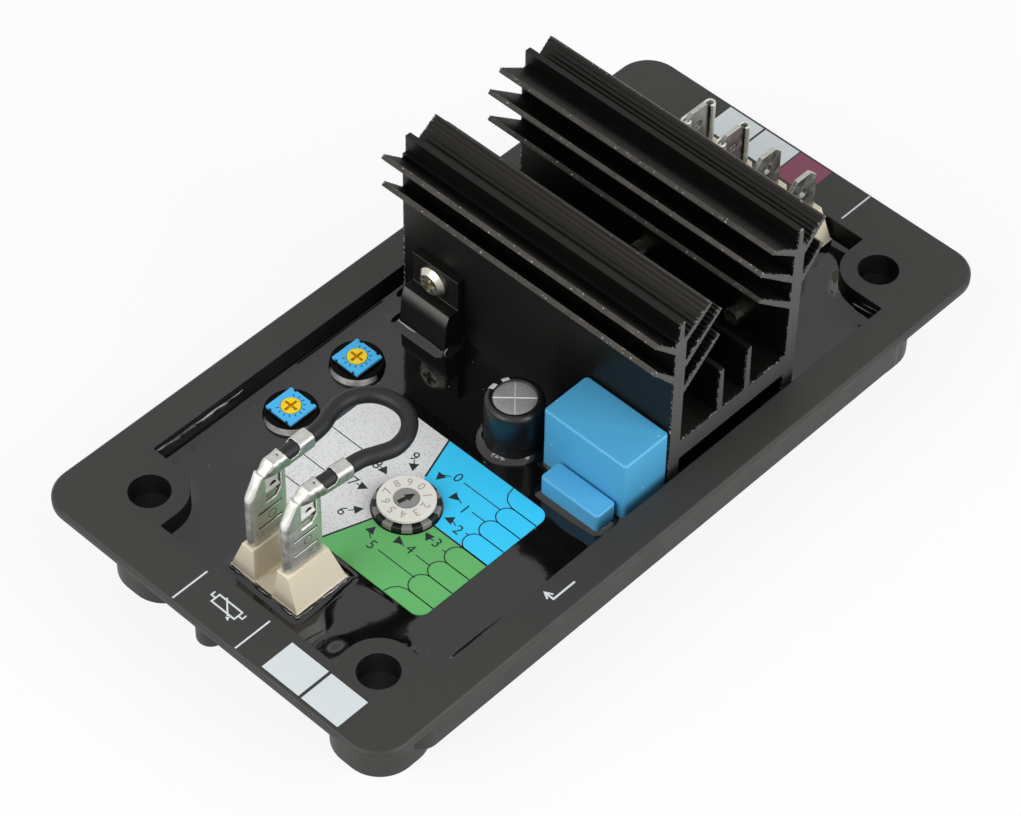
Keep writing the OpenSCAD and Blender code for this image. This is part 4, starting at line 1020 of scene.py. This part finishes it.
class REGULATOR_OT_capacitors(bpy.types.Operator):
    """Makes the sleeved electrolytic capacitor and finishes the blue film capacitors."""

    bl_idname = "regulator.capacitors"
    bl_label = "Capacitors"

    def execute(self, context):
        look = moulded("Film capacitor lacquer", hue("film"), 0.34, 0.014, 0.5, 0.5, 0.07)
        look.set("Base Color", look.mix(look.specks(3.4, 0.05) * 0.8, look.colour(), tone("CFE9F6")))
        softened("large_film_capacitor", "large_film_case", look, 0.0004, 4, slot="film_blue")
        softened("small_film_capacitor", "small_film_case", look, 0.00035, 4, slot="film_blue")

        middle, half = node_plan("electrolytic_sleeve")
        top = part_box("electrolytic_sleeve")[1].z / MM
        r = half[0] - 0.02
        profile = np.concatenate([
            [(r, RESIN_Z - 0.6), (r, RESIN_Z + 1.0)],
            [(r - 0.16, RESIN_Z + 1.5), (r - 0.16, RESIN_Z + 2.0), (r, RESIN_Z + 2.5)],
            [(r, top - 1.1)], arc((r - 1.0, top - 1.0), 1.0, 5, 90, 9),
            [(r - 1.25, top - 0.03), (r - 1.34, top - 0.14), (r - 1.3, top - 0.5)],
        ])
        sleeve = Finish("Shrunk sleeve", Specular_IOR_Level=0.5)
        x, y, z = sleeve.axes()
        dx, dy = x - float(middle[0]), y - float(middle[1])
        marks = None
        for angle in (99.0, 65.0):
            c, s = cos_sin(angle)
            mark = (abs(dy * c - dx * s) < 0.62) * ((dx * c + dy * s) > 3.7) * (z > top - 0.9)
            marks = mark if marks is None else marks + mark
        sleeve.set("Base Color", sleeve.mix(marks, tone("0D0D0E"), tone("D4D4D0")))
        sleeve.set("Roughness", 0.2 + 0.25 * sleeve.noise(3.0, 4.0))
        sleeve.grain(sleeve.noise(2.2, 2.0, (1, 1, 0.4)), 0.06)
        points, faces = turned(profile, middle, 96)
        put(
            "electrolytic_film", points, faces, sleeve, 70.0,
            stands_for=("electrolytic_sleeve",), slot="sleeve"
        )

        can = metal("Can top", tone("A2A2A0"), 0.45, (1, 1, 1), 0.7, 0.35)
        x, y, _ = can.axes()
        dx, dy = x - float(middle[0]), y - float(middle[1])
        c, s = cos_sin(-47)
        along, across = dx * c + dy * s, dy * c - dx * s
        # Painted highlight along the cross score: near white, full along one line and weaker along the other;
        # the same mask also dents the score as a bump.
        groove = can.start.maths(
            "MAXIMUM", 1 - can.ramp(abs(across), 0.1, 0.22), 0.45 - 0.45 * can.ramp(abs(along), 0.08, 0.18)
        )
        skin = can.mix(can.noise(0.35, 3.0), tone("8A8A88"), tone("B0B0AE"))
        can.set("Base Color", can.mix(groove, skin, tone("F0F0EE")))
        can.grain(can.noise(0.25, 3.0) * 0.25 + (1 - groove) * 0.75, 0.12)
        disc = [
            (r - 1.32, top - 0.6), (r - 1.32, top - 0.3), (r - 1.5, top - 0.22),
            (2.4, top - 0.2), (0.0, top - 0.2),
        ]
        points, faces = turned(disc, middle, 96)
        put(
            "electrolytic_top", points, faces, can, 40.0,
            stands_for=("electrolytic_can",), slot="bare_aluminium"
        )
        return {"FINISHED"}


class REGULATOR_OT_transistors(bpy.types.Operator):
    """Finishes the clamped transistors, their leads and their screws."""

    bl_idname = "regulator.transistors"
    bl_label = "Transistors and screws"

    def execute(self, context):
        epoxy = moulded("Transistor epoxy", tone("131311"), 0.5, 0.02, 0.25, 0.14, 0.2)
        # Painted reflection: the upward-sloping chamfer across the front gets a lighter grey band.
        bevel = epoxy.ramp(epoxy.facing(2), 0.2, 0.3) * (abs(epoxy.facing(0)) > 0.8)
        body = epoxy.mix(epoxy.noise(0.6), tone("0F0F0D"), tone("161614"))
        epoxy.set("Base Color", epoxy.mix(bevel, body, tone("686664")))
        for node in ("front_transistor", "rear_left_transistor", "rear_right_transistor"):
            softened(node, node + "_case", epoxy, 0.00016, 2, slot="black_plastic")
        nickel = metal("Screw plating", hue("nickel"), 0.16, (1, 1, 1), 0.7)
        softened("transistor_screws", "clamp_screws", nickel, 0.00012, 3, slot="screw_metal")
        tin = metal("Lead tin", hue("tin"), 0.3)
        softened("transistor_leads", "lead_strips", tin, 0.00006, 2, slot="tinned_metal")
        board = moulded("Board lacquer", tone("2C6638"), 0.35, 0.01, 0.3, 0.5, 0.15)
        softened("circuit_board", "board_panel", board, 0.00008, 2, slot="board")
        return {"FINISHED"}


class REGULATOR_OT_terminals(bpy.types.Operator):
    """Finishes the cream terminal blocks and their tinned tabs."""

    bl_idname = "regulator.terminals"
    bl_label = "Terminal blocks and tabs"

    def execute(self, context):
        cream = moulded("Cream moulding", hue("cream"), 0.5, 0.014, 0.3, 0.4, 0.06)
        tin = metal("Tab tin", hue("tin"), 0.26)
        for end in ("front", "rear"):
            softened(end + "_terminal_block", end + "_block_moulding", cream, 0.0003, 3, slot="cream_plastic")
            softened(end + "_terminal_tabs", end + "_tab_blades", tin, 0.00012, 2, slot="tinned_metal")
        return {"FINISHED"}


class REGULATOR_OT_receptacles(bpy.types.Operator):
    """Rolls the push-on receptacles from sheet metal, with the jumper's crimp barrels."""

    bl_idname = "regulator.receptacles"
    bl_label = "Push-on receptacles"

    def box_line(self):
        """The rolled box in plan: more than half a circle, the flat floor, and the same arc mirrored."""
        left = arc((-ROLL_X, FLOOR_Y + ROLL_R), ROLL_R, 46, 270, 31)
        breaks = [WINDOW_X, WINDOW_X + 0.01, 1.6, 2.6, 2.65]
        spots = np.unique(np.append(np.linspace(-ROLL_X, ROLL_X, 41), breaks))
        floor = np.stack([spots, np.full(len(spots), FLOOR_Y)], 1)
        return np.concatenate([left, floor[1:-1], (left * (-1, 1))[::-1]])

    def box(self, node, tab, line, tops, flip, tin):
        """A box on a tab: each point of the line rises to its own top, through two rows left open as slits,
        and the left roll leans in towards the barrel from LEAN_Z up."""
        rows = (0, 3.1, 11), (3.35, 6.3, 13), (6.55, FLOOR_H, 6)
        low = np.concatenate([np.linspace(*row) for row in rows])
        share = np.linspace(0, 1, 15)[1:]
        z = np.concatenate([np.tile(low, (len(line), 1)), FLOOR_H + share * (tops - FLOOR_H)[:, None]], 1)
        x, y = [np.repeat(line[:, i:i + 1], z.shape[1], 1) for i in (0, 1)]
        floor = np.abs(y - FLOOR_Y) < 1e-6
        lean = 3.0 * np.clip((z - LEAN_Z) / 4.7, 0, 1)
        lean = lean * np.clip((WINDOW_X - x) / (WINDOW_X + ROLL_X + ROLL_R), 0, 1)
        points = np.stack([tab[0] + x + lean, tab[1] + flip * y, RIB_Z + 0.1 + z], -1)
        quads = grid_quads(*z.shape)
        middle = z.ravel()[quads].mean(1)
        slit = (np.abs(middle - 3.225) < 0.1) | (np.abs(middle - 6.425) < 0.1)
        slit &= floor.ravel()[quads].all(1) & (np.abs(x.ravel()[quads].mean(1)) < 2.44)
        piece = put(
            node + "_box", points, quads[~slit].tolist(), tin, 40.0, False,
            stands_for=(node,), slot="tinned_metal"
        )
        solid_sheet(piece, bpy.context.scene.regulator_sizes.sheet)

    def neck(self, node, tab, tin):
        """The sheet above the tab: a flat panel with a stop rolled along its foot and a half-round recess."""
        x, z = np.meshgrid(np.linspace(WINDOW_X + 0.1, 2.5, 53), np.linspace(9.5, 13.5, 81), indexing="ij")
        recess = (np.hypot(x - NECK_HOLE[0], z - NECK_HOLE[1]) < NECK_HOLE[2]) & (z > NECK_HOLE[1])
        y = 0.3 * recess - 0.36 * np.exp(-((z - 9.9) / 0.28) ** 2)
        points = np.stack([tab[0] + x, tab[1] + y, RIB_Z + z], -1)
        quads = grid_quads(*x.shape).tolist()
        piece = put(node + "_neck", points, quads, tin, 40.0, False, slot="tinned_metal")
        solid_sheet(piece, bpy.context.scene.regulator_sizes.sheet)

    def barrel(self, node, tab, bend, tin):
        """The crimp barrel: a squarish ring carried along X, pressed at the crimp, cut open in its middle
        and turned."""
        turn, along = np.meshgrid(np.linspace(-90, 270, 97), np.linspace(0, 10.4, 105), indexing="ij")
        pressed = np.clip((4.9 - along) / 1.0, 0, 1)
        ripple = 0.05 * np.sin(along * 5.2) * np.cos(np.radians(2 * turn)) * pressed
        lap = 0.1 * np.exp(-((turn - 100) / 14) ** 2) * (along > 7.6)
        a = np.radians(turn)
        square = (np.abs(np.cos(a)) ** 3.2 + np.abs(np.sin(a)) ** 3.2) ** (-1 / 3.2)
        radius = (1.48 - 0.12 * pressed + ripple - lap) * square
        opened = np.clip(along / 2.1, 0, 1)
        x, y, z = BARREL_X + along, radius * np.cos(a) * (0.55 + 0.45 * opened), radius * np.sin(a)
        z = np.where(z > -0.6, -0.6 + (z + 0.6) * (0.12 + 0.88 * opened), z)
        c, s = cos_sin(bend)
        points = np.stack([tab[0] + x * c + y * s, tab[1] + y * c - x * s, BARREL_Z + z], -1)
        quads = grid_quads(*turn.shape)
        ct, cs = turn.ravel()[quads].mean(1), along.ravel()[quads].mean(1)
        half = 88 * np.sqrt(np.clip(1 - np.abs((cs - 6.1) / 1.5) ** 4, 0, 1))
        whole = quads[np.abs(ct - 90) >= half].tolist()
        piece = put(node + "_barrel", points, whole, tin, 40.0, False, slot="tinned_metal")
        solid_sheet(piece, 0.5 * bpy.context.scene.regulator_sizes.sheet, -1.0)

    def execute(self, context):
        bright = hue("bright_tin")
        tin = metal("Receptacle tin", bright, 0.26, (1, 1, 6), 0.75, 0.8)
        x, _, z = tin.axes()
        # Painted shade: the two rows of slits are painted near black.
        slits = (abs(z - RIB_Z - 3.325) < 0.14) + (abs(z - RIB_Z - 6.525) < 0.14)
        slits = slits * (abs(abs(x - 2.0) - 53.7) < 2.46)
        # Painted highlight and shadow round a dimple between the slits: a bright inner ring and a dark outer
        # ring.
        far = ((x - FRONT_TABS[0][0] - 0.5) ** 2 + (z - RIB_Z - 4.9) ** 2) ** 0.5
        ring = tin.mix((abs(far - 0.52) < 0.13) * 0.7, tin.colour(), tone("F6F6F2"))
        ring = tin.mix((abs(far - 0.74) < 0.09) * 0.7, ring, tone("30302E"))
        tin.set("Base Color", tin.mix(slits, ring, tone("101010")))
        pale = metal("Neck tin", bright, 0.45, (1, 1, 1), 0.95, 0.0)
        x, _, z = pale.axes()
        # Painted shade: the half-round recess in the neck is painted near black.
        across, above = x - FRONT_TABS[0][0] - NECK_HOLE[0], z - RIB_Z - NECK_HOLE[1]
        shaded_hole = (across ** 2 + above ** 2 < NECK_HOLE[2] ** 2) * (above > 0)
        pale.set("Base Color", pale.mix(shaded_hole, pale.colour(), tone("0A0A0A")))
        crimp = metal("Barrel tin", darker(bright, 0.8), 0.34, (1, 1, 6), 0.7)
        line = self.box_line()
        x = line[:, 0]
        tops = np.where(x < 0, 14.3, 13.2)
        floor_tops = np.interp(
            x, [-ROLL_X, -2.0, -0.8, WINDOW_X, WINDOW_X + 0.01, 1.6, 2.6, 2.65],
            [14.3, 14.1, 13.9, 13.4, FLOOR_H, FLOOR_H, 9.2, 13.2]
        )
        tops = np.where(np.abs(line[:, 1] - FLOOR_Y) < 1e-6, floor_tops, tops)
        for side, tab, bend in zip(("left", "right"), FRONT_TABS, (0.0, RIGHT_BEND)):
            node = side + "_jumper_receptacle"
            self.box(node, tab, line, tops, 1, tin)
            self.neck(node, tab, pale)
            self.barrel(node, tab, bend, crimp)
        for side, tab in zip(("left", "right"), REAR_TABS):
            self.box("rear_" + side + "_receptacle", tab, line, np.full(len(line), 8.6), -1, tin)
        return {"FINISHED"}


class REGULATOR_PT_panel(bpy.types.Panel):
    """Lists the regulator's pieces, sizes and colours."""

    bl_label = "Regulator"
    bl_idname = "REGULATOR_PT_panel"
    bl_space_type = "VIEW_3D"
    bl_region_type = "UI"
    bl_category = "Regulator"

    def draw(self, context):
        layout = self.layout
        for piece in PIECES:
            layout.operator(piece.bl_idname)
        for group in (context.scene.regulator_sizes, context.scene.regulator_colours):
            column = layout.column()
            for name in group.__annotations__:
                column.prop(group, name)


PIECES = (
    REGULATOR_OT_stage, REGULATOR_OT_jumper, REGULATOR_OT_housing, REGULATOR_OT_resin, REGULATOR_OT_heat_sink,
    REGULATOR_OT_label, REGULATOR_OT_selector, REGULATOR_OT_trimmers, REGULATOR_OT_capacitors,
    REGULATOR_OT_transistors, REGULATOR_OT_terminals, REGULATOR_OT_receptacles,
)
CLASSES = (RegulatorSizes, RegulatorColours) + PIECES + (REGULATOR_PT_panel,)


def register():
    for item in CLASSES:
        bpy.utils.register_class(item)
    bpy.types.Scene.regulator_sizes = bpy.props.PointerProperty(type=RegulatorSizes)
    bpy.types.Scene.regulator_colours = bpy.props.PointerProperty(type=RegulatorColours)


def unregister():
    del bpy.types.Scene.regulator_colours
    del bpy.types.Scene.regulator_sizes
    for item in reversed(CLASSES):
        bpy.utils.unregister_class(item)


def main():
    register()
    for piece in PIECES:
        group, name = piece.bl_idname.split(".")
        getattr(getattr(bpy.ops, group), name)()


if __name__ == "__main__":
    main()
